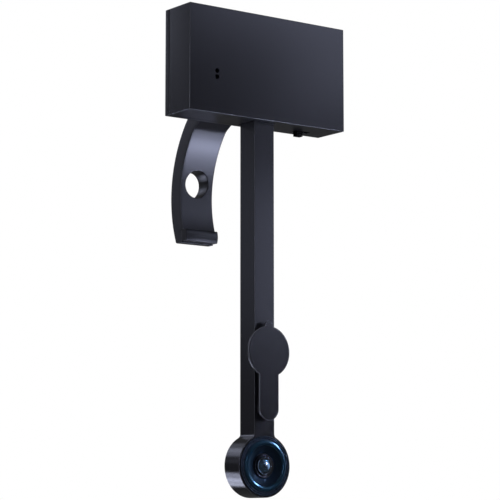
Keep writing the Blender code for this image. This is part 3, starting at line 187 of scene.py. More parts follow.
def mark_rounds(mesh, share):
    """Writes the edge attribute from each point's place on its round: 1 between its ends, else 0."""
    mark = ((share > 0.05) & (share < 0.95)).astype(np.float32)
    mesh.attributes.new(EDGE_MARK, "FLOAT", "POINT").data.foreach_set("value", mark)


def add_merged(node, body, finish, reshape=None):
    """A smooth-shaded copy of a CAD node in its place, its flat faces kept flat by face area."""
    mesh = merged_copy(node, node + "_skin", reshape)
    piece = add_piece(mesh, body, finish, (node,))
    normals = piece.modifiers.new("Flat faces stay flat", "WEIGHTED_NORMAL")
    normals.keep_sharp = True
    normals.weight = 100
    return piece


def arc(centre, radius, start, end, count):
    """Points along a circle in a plane: centre plus radius times cosine and sine."""
    angle = np.linspace(start, end, count)
    return np.stack([centre[0] + radius * np.cos(angle), centre[1] + radius * np.sin(angle)], -1)


def turned(name, profile, centre, axis, steps):
    """A profile of (radius, height) carried round an axis: radius times cosine and sine, plus height.

    Heights run along the axis, which is "front" (towards -Y) or "right" (towards +X).
    """
    angle = np.linspace(0, 2 * math.pi, steps + 1)
    radius, height = np.asarray(profile, float).T
    across = radius[:, None] * np.cos(angle)
    upward = radius[:, None] * np.sin(angle)
    along = np.repeat(height[:, None], steps + 1, 1)
    if axis == "front":
        grid = np.stack([across, -along, upward], -1)
    else:
        grid = np.stack([along, across, upward], -1)
    return weld(name, [grid + np.asarray(centre)])


def smooth_profile(points, rounds, count=5):
    """A profile whose inner corners are rounded: near each corner, a quadratic curve that leaves one
    side and meets the next, its reach set by the corner's own round."""
    points = np.asarray(points, float)
    made = [points[:1]]
    share = np.linspace(0, 1, count)[:, None]
    for before, corner, after, reach in zip(points[:-2], points[1:-1], points[2:], rounds):
        back, ahead = before - corner, after - corner
        start = corner + back * min(reach / np.linalg.norm(back), 0.5)
        end = corner + ahead * min(reach / np.linalg.norm(ahead), 0.5)
        made.append((1 - share) ** 2 * start + 2 * share * (1 - share) * corner + share**2 * end)
    made.append(points[-1:])
    return np.concatenate(made)


def outline_normals(outline):
    """Outward unit normals of a closed outline that runs counter-clockwise, from its neighbours."""
    along = np.roll(outline, -1, 0) - np.roll(outline, 1, 0)
    along /= np.linalg.norm(along, axis=1, keepdims=True)
    return np.stack([along[:, 1], -along[:, 0]], -1)


def rounded_plate(name, outline, hub, low, high, edge, axis):
    """A plate with rounded edges: its outline, moved inwards along a quarter circle at both faces.

    Each face is a fan of rings between the outline and a hub point that sees all of it. Facing
    front, an outline is (x, z) and low and high are y. Facing right, it is (y, z) and they are x.
    The rounds are marked as edges.
    """
    normals = outline_normals(outline)
    turn = np.linspace(0, math.pi / 2, 6)
    inset = edge * (1 - np.cos(turn))
    lift = edge * np.sin(turn)
    rows = [(i, high - edge + h) for i, h in zip(inset[::-1], lift[::-1])]
    rows += [(i, low + edge - h) for i, h in zip(inset, lift)]
    rim = [(outline - normals * i, h) for i, h in rows]
    rings = np.array([0.0, 0.5, 0.9, 0.97, 1.0])
    top = [(hub + (rim[0][0] - hub) * r, high) for r in rings]
    bottom = [(hub + (rim[-1][0] - hub) * r, low) for r in rings[::-1]]
    layers = []
    for flat, height in top + rim[1:-1] + bottom:
        closed = np.concatenate([flat, flat[:1]])
        depth = np.full(len(closed), height)
        if axis == "front":
            layers.append(np.stack([closed[:, 0], depth, closed[:, 1]], -1))
        else:
            layers.append(np.stack([depth, closed[:, 0], closed[:, 1]], -1))
    mesh = weld(name, [np.stack(layers)])
    depth = corners(mesh)[:, 1 if axis == "front" else 0]
    mark_rounds(mesh, np.minimum(depth - low, high - depth) / edge)
    return mesh


def rounded_block(low, high, edge, steps=4):
    """Six grids that close to a block with round edges.

    On each face a point is a place on the block shrunk by the edge radius, plus that radius along a
    direction. The direction is the face's own over the flat middle, and leans up to 45 degrees
    towards each neighbour over the outer rows, where the place stands still.
    """
    low, high = np.asarray(low, float), np.asarray(high, float)
    centre, core = (low + high) / 2, (high - low) / 2 - edge
    flat = np.array([-1, -0.9, 0, 0.9, 1])
    lean = np.linspace(0, math.pi / 4, steps + 1)[1:]
    places = np.concatenate([np.full(steps, -1), flat, np.full(steps, 1)])
    leans = np.tan(np.concatenate([-lean[::-1], np.zeros(len(flat)), lean]))
    place_u, place_v = np.meshgrid(places, places, indexing="ij")
    lean_u, lean_v = np.meshgrid(leans, leans, indexing="ij")
    grids = []
    for axis in range(3):
        u, v = (axis + 1) % 3, (axis + 2) % 3
        for side in (-1, 1):
            place, direction = np.zeros((2, *place_u.shape, 3))
            place[..., axis], place[..., u], place[..., v] = side, place_u, place_v
            direction[..., axis], direction[..., u], direction[..., v] = side, lean_u, lean_v
            direction /= np.linalg.norm(direction, axis=-1, keepdims=True)
            grids.append(centre + place * core + edge * direction)
    return grids


# Materials


def group_sockets(group, inputs, outputs):
    for name, default in inputs:
        socket = group.interface.new_socket(name, in_out="INPUT", socket_type="NodeSocketFloat")
        socket.default_value = default
    for name in outputs:
        group.interface.new_socket(name, in_out="OUTPUT", socket_type="NodeSocketFloat")


def grain_group():
    """Moulded grain: fine noise for height, and slow noise for patches of tone, both from 0 to 1."""
    group = bpy.data.node_groups.new("Moulded grain", "ShaderNodeTree")
    group_sockets(group, [("Grain scale", 2600.0), ("Patch scale", 60.0)], ["Height", "Patch"])
    nodes, links = group.nodes, group.links
    entry, leave = nodes.new("NodeGroupInput"), nodes.new("NodeGroupOutput")
    place = nodes.new("ShaderNodeTexCoord")
    for scale, detail, output in (("Grain scale", 3.0, "Height"), ("Patch scale", 4.0, "Patch")):
        noise = nodes.new("ShaderNodeTexNoise")
        noise.inputs["Detail"].default_value = detail
        links.new(place.outputs["Object"], noise.inputs["Vector"])
        links.new(entry.outputs[scale], noise.inputs["Scale"])
        links.new(noise.outputs["Fac"], leave.inputs[output])
    return group


def edge_highlight_group():
    """Painted edge highlight mask: the edge attribute, thinned by patches of noise and scaled by an amount."""
    group = bpy.data.node_groups.new("Painted edge highlights", "ShaderNodeTree")
    group_sockets(group, [("Amount", 1.0), ("Patch scale", 500.0)], ["Mask"])
    nodes, links = group.nodes, group.links
    entry, leave = nodes.new("NodeGroupInput"), nodes.new("NodeGroupOutput")
    place = nodes.new("ShaderNodeTexCoord")
    noise = nodes.new("ShaderNodeTexNoise")
    links.new(place.outputs["Object"], noise.inputs["Vector"])
    links.new(entry.outputs["Patch scale"], noise.inputs["Scale"])
    thin = nodes.new("ShaderNodeMapRange")
    thin.inputs["To Min"].default_value = 0.5
    thin.inputs["To Max"].default_value = 1.3
    links.new(noise.outputs["Fac"], thin.inputs["Value"])
    edge = nodes.new("ShaderNodeAttribute")
    edge.attribute_name = EDGE_MARK
    value = edge.outputs["Fac"]
    for factor in (thin.outputs["Result"], entry.outputs["Amount"]):
        scaled = nodes.new("ShaderNodeMath")
        scaled.operation = "MULTIPLY"
        links.new(value, scaled.inputs[0])
        links.new(factor, scaled.inputs[1])
        value = scaled.outputs[0]
    links.new(value, leave.inputs["Mask"])
    return group


def add_edge_highlight(material, highlight_colour, amount):
    """Paints a highlight along the marked edges: the colour turns paler there, and a share of metal shows."""
    nodes, links = material.node_tree.nodes, material.node_tree.links
    shader = nodes["Principled BSDF"]
    highlight_mask = nodes.new("ShaderNodeGroup")
    highlight_mask.node_tree = bpy.data.node_groups.get("Painted edge highlights") or edge_highlight_group()
    highlight_mask.inputs["Amount"].default_value = amount
    colour = nodes.new("ShaderNodeMix")
    colour.data_type = "RGBA"
    links.new(highlight_mask.outputs["Mask"], colour.inputs["Factor"])
    links.new(shader.inputs["Base Color"].links[0].from_socket, colour.inputs["A"])
    colour.inputs["B"].default_value = (*highlight_colour, 1)
    links.new(colour.outputs["Result"], shader.inputs["Base Color"])
    share = nodes.new("ShaderNodeMath")
    share.operation = "MULTIPLY"
    share.inputs[1].default_value = 0.6
    links.new(highlight_mask.outputs["Mask"], share.inputs[0])
    links.new(share.outputs[0], shader.inputs["Metallic"])
    return material


def add_matt_base(material, level, dull):
    """A dull underside: roughness goes over to a duller value just above a level."""
    nodes, links = material.node_tree.nodes, material.node_tree.links
    shader = nodes["Principled BSDF"]
    place = nodes.new("ShaderNodeTexCoord")
    split = nodes.new("ShaderNodeSeparateXYZ")
    links.new(place.outputs["Object"], split.inputs[0])
    low = nodes.new("ShaderNodeMapRange")
    low.inputs["From Min"].default_value = level + 0.3 * MM
    low.inputs["From Max"].default_value = level + 0.1 * MM
    links.new(split.outputs["Z"], low.inputs["Value"])
    mix = nodes.new("ShaderNodeMix")
    links.new(low.outputs["Result"], mix.inputs["Factor"])
    links.new(shader.inputs["Roughness"].links[0].from_socket, mix.inputs["A"])
    mix.inputs["B"].default_value = dull
    links.new(mix.outputs["Result"], shader.inputs["Roughness"])
    return material


def satin(name, colour, tone, roughness, spread, grain=2600.0, depth=0.012, metallic=0.0, tint=(1, 1, 1)):
    """Satin plastic: a dark colour with slow patches of another tone, and a fine moulded grain."""
    material = bpy.data.materials.new(name)
    material.use_nodes = True
    nodes, links = material.node_tree.nodes, material.node_tree.links
    shader = nodes["Principled BSDF"]
    shader.inputs["Metallic"].default_value = metallic
    shader.inputs["Specular Tint"].default_value = (*tint, 1)
    pattern = nodes.new("ShaderNodeGroup")
    pattern.node_tree = bpy.data.node_groups.get("Moulded grain") or grain_group()
    pattern.inputs["Grain scale"].default_value = grain
    mix = nodes.new("ShaderNodeMix")
    mix.data_type = "RGBA"
    mix.inputs["A"].default_value = (*colour, 1)
    mix.inputs["B"].default_value = (*tone, 1)
    links.new(pattern.outputs["Patch"], mix.inputs["Factor"])
    links.new(mix.outputs["Result"], shader.inputs["Base Color"])
    levels = nodes.new("ShaderNodeMapRange")
    levels.inputs["To Min"].default_value = roughness - spread
    levels.inputs["To Max"].default_value = roughness + spread
    links.new(pattern.outputs["Height"], levels.inputs["Value"])
    links.new(levels.outputs["Result"], shader.inputs["Roughness"])
    bump = nodes.new("ShaderNodeBump")
    bump.inputs["Strength"].default_value = depth
    bump.inputs["Distance"].default_value = 0.1 * MM
    links.new(pattern.outputs["Height"], bump.inputs["Height"])
    links.new(bump.outputs["Normal"], shader.inputs["Normal"])
    return material


# Zones of the lens, from the axis outwards: outer radius in millimetres, colour, metal, roughness, coat
LENS_ZONES = (
    (0.88, (0.05, 0.09, 0.15), 1.0, 0.3, 1.0),
    (1.0, (0.01, 0.016, 0.035), 0.0, 0.1, 0.6),
    (2.35, (0.09, 0.18, 0.29), 1.0, 0.27, 1.0),
    (2.6, (0.002, 0.002, 0.004), 0.0, 0.08, 0.15),
    (3.34, (0.22, 0.26, 0.33), 1.0, 0.15, 0.0),
    (4.4, (0.12, 0.125, 0.17), 1.0, 0.16, 0.0),
    (7.56, (0.012, 0.021, 0.039), 0.7, 0.4, 0.0),
    (9.35, (0.016, 0.045, 0.08), 0.6, 0.22, 0.05),
    (11.6, (0.028, 0.038, 0.062), 0.5, 0.34, 0.0),
)
LENS_REACH = 12.0


def zone_ramp(nodes, values):
    """A ramp over the distance from the lens axis that holds one value in each zone."""
    ramp = nodes.new("ShaderNodeValToRGB")
    stops = ramp.color_ramp.elements
    inner = 0.0
    for number, (zone, value) in enumerate(zip(LENS_ZONES, values)):
        near, far = inner / LENS_REACH + 0.002, zone[0] / LENS_REACH - 0.002
        for place in (near, far):
            if number == 0 and place == near:
                stop = stops[0]
            elif number == 0:
                stop = stops[1]
            else:
                stop = stops.new(place)
            stop.position = place
            stop.color = (*value, 1) if isinstance(value, tuple) else (value, value, value, 1)
        inner = zone[0]
    return ramp


def lens_zones(name, middle):
    """Turned lens parts: colour, metal and roughness follow the distance from the lens axis."""
    material = bpy.data.materials.new(name)
    material.use_nodes = True
    nodes, links = material.node_tree.nodes, material.node_tree.links
    shader = nodes["Principled BSDF"]
    place = nodes.new("ShaderNodeTexCoord")
    centred = nodes.new("ShaderNodeVectorMath")
    centred.operation = "SUBTRACT"
    centred.inputs[1].default_value = middle
    links.new(place.outputs["Object"], centred.inputs[0])
    flat = nodes.new("ShaderNodeVectorMath")
    flat.operation = "MULTIPLY"
    reach = 1 / (LENS_REACH * MM)
    flat.inputs[1].default_value = (reach, 0, reach)
    links.new(centred.outputs["Vector"], flat.inputs[0])
    distance = nodes.new("ShaderNodeVectorMath")
    distance.operation = "LENGTH"
    links.new(flat.outputs["Vector"], distance.inputs[0])
    pattern = nodes.new("ShaderNodeGroup")
    pattern.node_tree = bpy.data.node_groups.get("Moulded grain") or grain_group()
    pattern.inputs["Patch scale"].default_value = 700.0
    for number, socket in ((1, "Base Color"), (2, "Metallic"), (3, "Roughness"), (4, "Coat Weight")):
        ramp = zone_ramp(nodes, [zone[number] for zone in LENS_ZONES])
        links.new(distance.outputs["Value"], ramp.inputs["Fac"])
        if socket in ("Metallic", "Coat Weight"):
            links.new(ramp.outputs["Color"], shader.inputs[socket])
            continue
        vary = nodes.new("ShaderNodeMix")
        vary.data_type = "RGBA"
        vary.blend_type = "MULTIPLY"
        vary.inputs["Factor"].default_value = 0.3
        links.new(ramp.outputs["Color"], vary.inputs["A"])
        links.new(pattern.outputs["Patch"], vary.inputs["B"])
        links.new(vary.outputs["Result"], shader.inputs[socket])
    shader.inputs["Specular IOR Level"].default_value = 0.12
    shader.inputs["Specular Tint"].default_value = (0.5, 0.8, 1, 1)
    shader.inputs["Coat Roughness"].default_value = 0.1
    return material


# Settings


class StageSettings(bpy.types.PropertyGroup):
    """Camera, lamps and floor."""

    eye: FloatVectorProperty(
        name="Eye", description="Where the camera stands", subtype="TRANSLATION", unit="LENGTH",
        precision=5, default=(-0.450605, -0.613113, -0.151434),
    )
    aim: FloatVectorProperty(
        name="Aim", description="How the camera is turned", subtype="EULER", unit="ROTATION",
        default=(math.radians(97.81645), 0.0, math.radians(-36.42876)),
    )
    focal_length: FloatProperty(
        name="Focal length", description="The camera's focal length in millimetres", default=147.488,
    )
    floor_level: FloatProperty(
        name="Floor level", description="Height of the floor", unit="LENGTH", default=-0.36,
    )
    floor_lift: FloatProperty(
        name="Floor lift", description="How much paler the floor looks than its light makes it", min=0.0,
        default=0.45,
    )
    ambient: FloatProperty(
        name="Ambient", description="Even light from all round", min=0.0, default=0.35,
    )
    gloss_share: FloatProperty(
        name="Backdrop in gloss", description="How much of the white backdrop glossy faces show",
        subtype="FACTOR", min=0.0, max=1.0, default=0.09,
    )


def size(name, description, millimetres):
    """A length that a user may change, given in millimetres."""
    return FloatProperty(
        name=name, description=description, subtype="DISTANCE", unit="LENGTH", precision=5,
        default=millimetres * MM,
    )


class HookSizes(bpy.types.PropertyGroup):
    """The hook and its pad."""

    centre_y: size("Centre, depth", "Depth of the middle of the hook's circles", -7.3)
    centre_z: size("Centre, height", "Height of the middle of the hook's circles", -23.3)
    inner_radius: size("Inner radius", "Radius of the face towards the screen", 39.9)
    outer_radius: size("Outer radius", "Radius of the face away from the screen", 46.4)
    half_width: size("Half width", "Half the width of the strip", 7.5)
    knuckle_radius: size("Knuckle radius", "Radius of the round end on the hinge", 4.8)
    edge: size("Edge", "Radius of the strip's edges", 0.2)
    bend_radius: size("Bend radius", "Radius of the tighter bend under the hinge", 5)
    bend_angle: FloatProperty(
        name="Bend angle", description="Place along the arc where the tighter bend starts", subtype="ANGLE",
        default=math.radians(39),
    )
    tip_round: size("Tip round", "Radius of the rear corner of the tip", 1.2)
    hole_radius: size("Hole radius", "Radius of the round hole", 5.3)
    hole_lip: size("Hole lip", "Radius of the hole's edge", 0.25)
    hole_angle: FloatProperty(
        name="Hole angle", description="Place of the hole along the arc", subtype="ANGLE",
        default=math.radians(7.5),
    )
    pad_gap: size("Pad gap", "Space kept for the pad behind and above it", 0.3)
    pad_clearance: size("Pad clearance", "Space that is seen round the pad", 0.02)
    pad_bulge: size("Pad bulge", "How far the pad's front stands out in its middle", 0.5)
    pad_round: size("Pad round", "Radius of the pad's edges", 0.35)
    pad_end: size("Pad end", "Radius of the edges of the pad's end faces", 0.12)


class LensSizes(bpy.types.PropertyGroup):
    """The rings and the glass in the head. Heights are in front of the head's face."""

    flange_radius: size("Flange radius", "Outer radius of the bezel's flange", 10.9)
    flange_height: size("Flange height", "Height of the bezel's flange", 0.32)
    groove_outer: size("Outer groove", "Radius of the flange's outer fine groove", 10.4)
    groove_inner: size("Inner groove", "Radius of the flange's inner fine groove", 9.75)
    groove_half: size("Half groove", "Half the width of a fine groove", 0.2)
    crest_radius: size("Crest radius", "Radius of the bezel's highest circle", 8.5)
    crest_height: size("Crest height", "Height of the bezel's highest circle", 0.7)
    crest_round: size("Crest round", "Radius of the bezel's round slopes", 5)
    crest_soft: size("Crest softness", "Reach of the rounding along the bezel's highest circle", 0.2)
    crest_slope: FloatProperty(
        name="Crest slope", description="How steeply the bezel falls beside its highest circle", subtype="ANGLE",
        default=math.radians(9),
    )
    shoulder_radius: size("Shoulder radius", "Radius where the round back meets the flange", 9.3)
    bezel_bore: size("Bezel bore", "Inner radius of the bezel", 7.6)
    bowl_floor: size("Bowl floor", "Height at the floor of the bowl", -0.8)
    floor_radius: size("Floor radius", "Radius of the bowl's floor", 4.6)
    lip_radius: size("Lip radius", "Outer radius of the low lip round the barrel", 4.2)
    lip_inner: size("Inner lip radius", "Inner radius of the low lip", 3.55)
    lip_height: size("Lip height", "Height of the low lip at its outer edge", 0.0)
    ring_radius: size("Ring radius", "Outer radius of the ring that holds the glass", 3.2)
    ring_height: size("Ring height", "Height of the ring at its outer edge", 0.36)
    lip_slope: FloatProperty(
        name="Lip slope", description="How steeply the low lip falls inwards", subtype="ANGLE",
        default=math.radians(22),
    )
    ring_slope: FloatProperty(
        name="Ring slope", description="How steeply the ring falls inwards", subtype="ANGLE",
        default=math.radians(26),
    )
    soft_edge: size("Soft edge", "Reach of the rounding at the rings' edges", 0.08)
    element_radius: size("Glass radius", "Radius of the front glass", 2.6)
    element_rim: size("Glass rim", "Height of the front glass at its rim", 0.0)
    glass_round: size("Glass round", "Ball radius of the front glass", 5.2)
    cap_radius: size("Cap radius", "Radius of the rounder middle of the front glass", 0.9)
    cap_round: size("Cap round", "Ball radius of the rounder middle", 2)


class CoverSizes(bpy.types.PropertyGroup):
    """The swing cover and its post."""

    disc_radius: size("Disc radius", "Radius of the cover's disc", 9.4)
    pivot_rise: size("Pivot rise", "Height of the disc's middle over the pivot", 20.825)
    tail_half: size("Half tail", "Half the width of the cover's tail", 4.4)
    nub_radius: size("Nub radius", "Radius of the thumb nub", 1.85)
    edge: size("Edge", "Radius of the cover's edges", 0.28)
    shaft_radius: size("Shaft radius", "Radius of the post's shaft", 1.5)
    flange_depth: size("Flange depth", "Depth of the post's flange", 1.4)


class LookSettings(bpy.types.PropertyGroup):
    """Colours and finishes."""

    shell_colour: FloatVectorProperty(
        name="Shell", description="Colour of the box, the arm and the cover", subtype="COLOR",
        min=0.0, max=1.0, default=(0.008, 0.0082, 0.012),
    )
    shell_tone: FloatVectorProperty(
        name="Shell tone", description="Second tone in the shell's patches", subtype="COLOR",
        min=0.0, max=1.0, default=(0.01, 0.0102, 0.0148),
    )
    # Colour of the painted highlight along the shell's rounded edges
    edge_highlight_colour: FloatVectorProperty(
        name="Edge highlight", description="Colour of the shell's painted edge highlights", subtype="COLOR",
        min=0.0, max=1.0, default=(0.17, 0.178, 0.215),
    )
    # Colour of the painted highlight along the cover's rounded edges
    rim_highlight_colour: FloatVectorProperty(
        name="Rim highlight", description="Colour of the cover's painted edge highlights", subtype="COLOR",
        min=0.0, max=1.0, default=(0.26, 0.27, 0.33),
    )
    shell_roughness: FloatProperty(
        name="Shell roughness", description="How dull the shell is", subtype="FACTOR",
        min=0.0, max=1.0, default=0.22,
    )
    base_roughness: FloatProperty(
        name="Base roughness", description="How dull the underside of the box is", subtype="FACTOR",
        min=0.0, max=1.0, default=0.34,
    )
    hook_roughness: FloatProperty(
        name="Hook roughness", description="How dull the hook is", subtype="FACTOR",
        min=0.0, max=1.0, default=0.36,
    )


# Pieces

SHEEN = (0.84, 0.86, 1.0)
HOOK_IOR = 1.7


def finish(name):
    """A named finish, made the first time it is asked for."""
    found = bpy.data.materials.get(name)
    if found:
        return found
    looks = bpy.context.scene.screen_camera_looks
    shell, tone, rough = looks.shell_colour, looks.shell_tone, looks.shell_roughness
    # The shell, cover, box and hook finishes carry a painted highlight along their rounded edges: paler colour
    # with a share of metal
    if name == "shell satin":
        return add_edge_highlight(satin(name, shell, tone, rough, 0.03, tint=SHEEN), looks.edge_highlight_colour, 1.0)
    if name == "cover satin":
        return add_edge_highlight(satin(name, shell, tone, rough, 0.03, tint=SHEEN), looks.rim_highlight_colour, 0.9)
    if name == "box satin":
        plain = add_edge_highlight(satin(name, shell, tone, rough, 0.03, tint=SHEEN), looks.edge_highlight_colour, 1.0)
        return add_matt_base(plain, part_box("housing_shell")[0].z, looks.base_roughness)
    if name == "hook satin":
        strip = satin(name, shell, tone, looks.hook_roughness, 0.03, tint=SHEEN)
        strip.node_tree.nodes["Principled BSDF"].inputs["IOR"].default_value = HOOK_IOR
        return add_edge_highlight(strip, looks.edge_highlight_colour, 0.4)
    if name == "pad rubber":
        return satin(name, (0.009, 0.009, 0.012), (0.013, 0.013, 0.017), 0.3, 0.04, 1800.0, 0.03, tint=SHEEN)
    if name == "knob black":
        knob = satin(name, (0.002, 0.002, 0.003), (0.004, 0.004, 0.005), 0.5, 0.05)
        knob.node_tree.nodes["Principled BSDF"].inputs["Specular IOR Level"].default_value = 0.1
        return knob
    if name == "lens zones":
        low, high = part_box("bezel_ring")
        return lens_zones(name, (low + high) / 2)
    if name == "bowl black":
        return satin(name, (0.004, 0.006, 0.012), (0.006, 0.009, 0.018), 0.25, 0.03, 3000.0, 0.01)
    if name == "lens coating":
        return satin(name, (0.004, 0.008, 0.02), (0.006, 0.01, 0.03), 0.05, 0.01, 3000.0, 0.0)
    if name == "black steel":
        return satin(name, (0.02, 0.02, 0.023), (0.03, 0.03, 0.033), 0.36, 0.05, 2200.0, 0.03, 0.7)
    if name == "bright steel":
        return satin(name, (0.5, 0.5, 0.52), (0.6, 0.6, 0.62), 0.3, 0.05, 2200.0, 0.02, 1.0)
    if name == "circuit green":
        return satin(name, (0.01, 0.07, 0.03), (0.014, 0.09, 0.035), 0.4, 0.05)
    if name == "chip black":
        return satin(name, (0.01, 0.01, 0.011), (0.015, 0.015, 0.016), 0.45, 0.05)
    if name == "cable film":
        return satin(name, (0.24, 0.13, 0.03), (0.3, 0.17, 0.04), 0.4, 0.05)
    if name == "slide plastic":
        return satin(name, (0.5, 0.49, 0.46), (0.56, 0.55, 0.51), 0.4, 0.05)
    raise RuntimeError("there is no finish named " + name)


SHELL_EDGE = 0.3 * MM
SEAM_GAP = 0.3 * MM
SEAM_HAIR = 0.03 * MM
SEAM_EDGE = 0.08 * MM


def fine_seam(points):
    """Closes the parting line round the box to a hair: near it, depths on the outside are respaced."""
    low, high = (np.array(corner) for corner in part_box("housing_shell"))
    rim = high[1]
    cover = rim + SEAM_GAP
    inside = np.minimum(points - low, high - points)[:, [0, 2]].min(1)
    depth = points[:, 1]
    near = (inside < 1.1 * SHELL_EDGE) & (depth > rim - 1.1 * SHELL_EDGE) & (depth < cover + 1.1 * SHELL_EDGE)
    places = [rim - SHELL_EDGE, rim, cover, cover + SHELL_EDGE]
    spaced = [cover - SEAM_HAIR - SEAM_EDGE, cover - SEAM_HAIR, cover, cover + SEAM_EDGE]
    moved = points.copy()
    moved[near, 1] = np.interp(depth[near], places, spaced)
    return moved


class SCREENCAM_OT_housing(bpy.types.Operator):
    """The box: its front shell and its rear cover"""

    bl_idname = "screencam.housing"
    bl_label = "Housing"

    def execute(self, context):
        for node in ("housing_shell", "rear_cover"):
            add_merged(node, "housing", finish("box satin"), fine_seam)
        return {"FINISHED"}


class SCREENCAM_OT_arm(bpy.types.Operator):
    """The drop arm with its round head, and the strip that closes it from behind"""

    bl_idname = "screencam.arm"
    bl_label = "Arm"

    def execute(self, context):
        for node in ("arm_shell", "arm_back_cover"):
            add_merged(node, "arm", finish("shell satin"))
        return {"FINISHED"}


class SCREENCAM_OT_lens(bpy.types.Operator):
    """The lens: bezel, bowl, barrel and front element"""

    bl_idname = "screencam.lens"
    bl_label = "Lens"

    def execute(self, context):
        sizes = context.scene.screen_camera_lens
        low, high = (np.array(corner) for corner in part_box("bezel_ring"))
        self.centre = (low + high) / 2
        self.centre[1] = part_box("arm_shell")[0].y
        self.add_bezel(sizes)
        self.add_bowl(sizes)
        self.add_barrel(sizes)
        self.add_element(sizes)
        return {"FINISHED"}

    def add_ring(self, name, profile, node):
        """A profile of (radius, height in front of the head's face) turned about the lens axis."""
        mesh = turned(name, profile, self.centre, "front", 144)
        add_piece(mesh, "arm", finish("lens zones"), (node,))

    def back_height(self, sizes, radius):
        """Height of the bezel's back: on each side of the crest a circle that starts with a slope.

        The distance from the crest is softened to a smooth curve where it is small.
        """
        soft, ball = sizes.crest_soft, sizes.crest_round
        away = np.sqrt((radius - sizes.crest_radius) ** 2 + soft**2) - soft
        lean = math.sin(sizes.crest_slope) + away / ball
        return sizes.crest_height - ball * (math.cos(sizes.crest_slope) - np.sqrt(1 - lean**2))

    def add_bezel(self, sizes):
        """A grooved flange, then a back that leads over the crest and down into the bowl."""
        rear = self.centre[1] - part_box("bezel_ring")[1].y
        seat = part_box("bezel_ring")[1].x
        flange, foot, half = sizes.flange_radius, sizes.flange_height, sizes.groove_half
        soft = sizes.soft_edge
        edge = [
            (sizes.bezel_bore, rear),
            (seat, rear),
            (seat, soft),
            (flange - soft, soft),
            (flange, 2 * soft),
            (flange - soft, foot),
        ]
        for groove in (sizes.groove_outer, sizes.groove_inner):
            edge += [(groove + half, foot), (groove, foot - half), (groove - half, foot)]
        edge.append((sizes.shoulder_radius + soft, foot))
        way = np.linspace(sizes.shoulder_radius, sizes.bezel_bore, 61)
        back = np.stack([way, self.back_height(sizes, way)], -1)
        edge += [back[0], back[1]]
        profile = np.concatenate([
            smooth_profile(edge, np.full(len(edge) - 2, soft)),
            back[2:],
            [(sizes.bezel_bore, rear)],
        ])
        self.add_ring("bezel_skin", profile, "bezel_ring")

    def add_bowl(self, sizes):
        """A hollow that falls almost straight from its rim and levels out near its floor.

        Its height over the floor follows the distance from the floor to the power of 1.3.
        """
        rear = self.centre[1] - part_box("lens_baffle")[1].y
        rim, floor_radius = sizes.bezel_bore - sizes.soft_edge, sizes.floor_radius
        lip = self.back_height(sizes, rim)
        way = np.linspace(0, 1, 25)
        radius = rim + (floor_radius - rim) * way
        height = sizes.bowl_floor + (lip - sizes.bowl_floor) * (1 - way) ** 1.3
        bowl = np.stack([radius, height], -1)
        profile = np.concatenate([[(floor_radius, rear), (rim, rear)], bowl, [(floor_radius, rear)]])
        self.add_ring("bowl_skin", profile, "lens_baffle")

    def add_barrel(self, sizes):
        """A low lip and a higher ring, both falling inwards, with a groove between them."""
        rear = self.centre[1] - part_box("lens_barrel")[1].y
        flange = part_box("lens_barrel")[1].x
        seat, floor, soft = sizes.element_radius, sizes.bowl_floor, sizes.soft_edge
        lip, lip_inner, lip_top = sizes.lip_radius, sizes.lip_inner, sizes.lip_height
        ring, ring_top = sizes.ring_radius, sizes.ring_height
        lip_low = lip_top - (lip - lip_inner) * math.tan(sizes.lip_slope)
        ring_low = ring_top - (ring - seat - soft) * math.tan(sizes.ring_slope)
        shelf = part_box("lens_baffle")[1].y
        under = self.centre[1] - shelf - soft
        points = [
            (seat, rear),
            (flange, rear),
            (flange, under),
            (sizes.floor_radius - soft, under),
            (sizes.floor_radius - soft, floor),
            (lip + soft, floor),
            (lip, lip_top),
            (lip_inner, lip_low),
            (lip_inner - soft, floor),
            (ring + soft, floor),
            (ring, ring_top),
            (seat + soft, ring_low),
            (seat + soft, sizes.element_rim - soft),
            (seat, sizes.element_rim - 2 * soft),
            (seat, rear),
        ]
        profile = smooth_profile(points, np.full(len(points) - 2, soft))
        self.add_ring("barrel_skin", profile, "lens_barrel")

    def add_element(self, sizes):
        """The front glass: a shallow cap of a large ball, with a cap of a smaller ball in its middle."""
        rear = self.centre[1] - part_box("front_lens")[1].y
        rim = sizes.element_radius - sizes.soft_edge / 2
        step, large, small = sizes.cap_radius, sizes.glass_round, sizes.cap_round
        way = np.linspace(rim, step, 15)
        outer = sizes.element_rim + np.sqrt(large**2 - way**2) - math.sqrt(large**2 - rim**2)
        inward = np.linspace(step, 0, 15)
        cap = outer[-1] + np.sqrt(small**2 - inward**2) - math.sqrt(small**2 - step**2)
        dome = np.concatenate([np.stack([way, outer], -1), np.stack([inward, cap], -1)[1:]])
        profile = np.concatenate([[(0, rear), (rim, rear)], dome])
        self.add_ring("element_skin", profile, "front_lens")


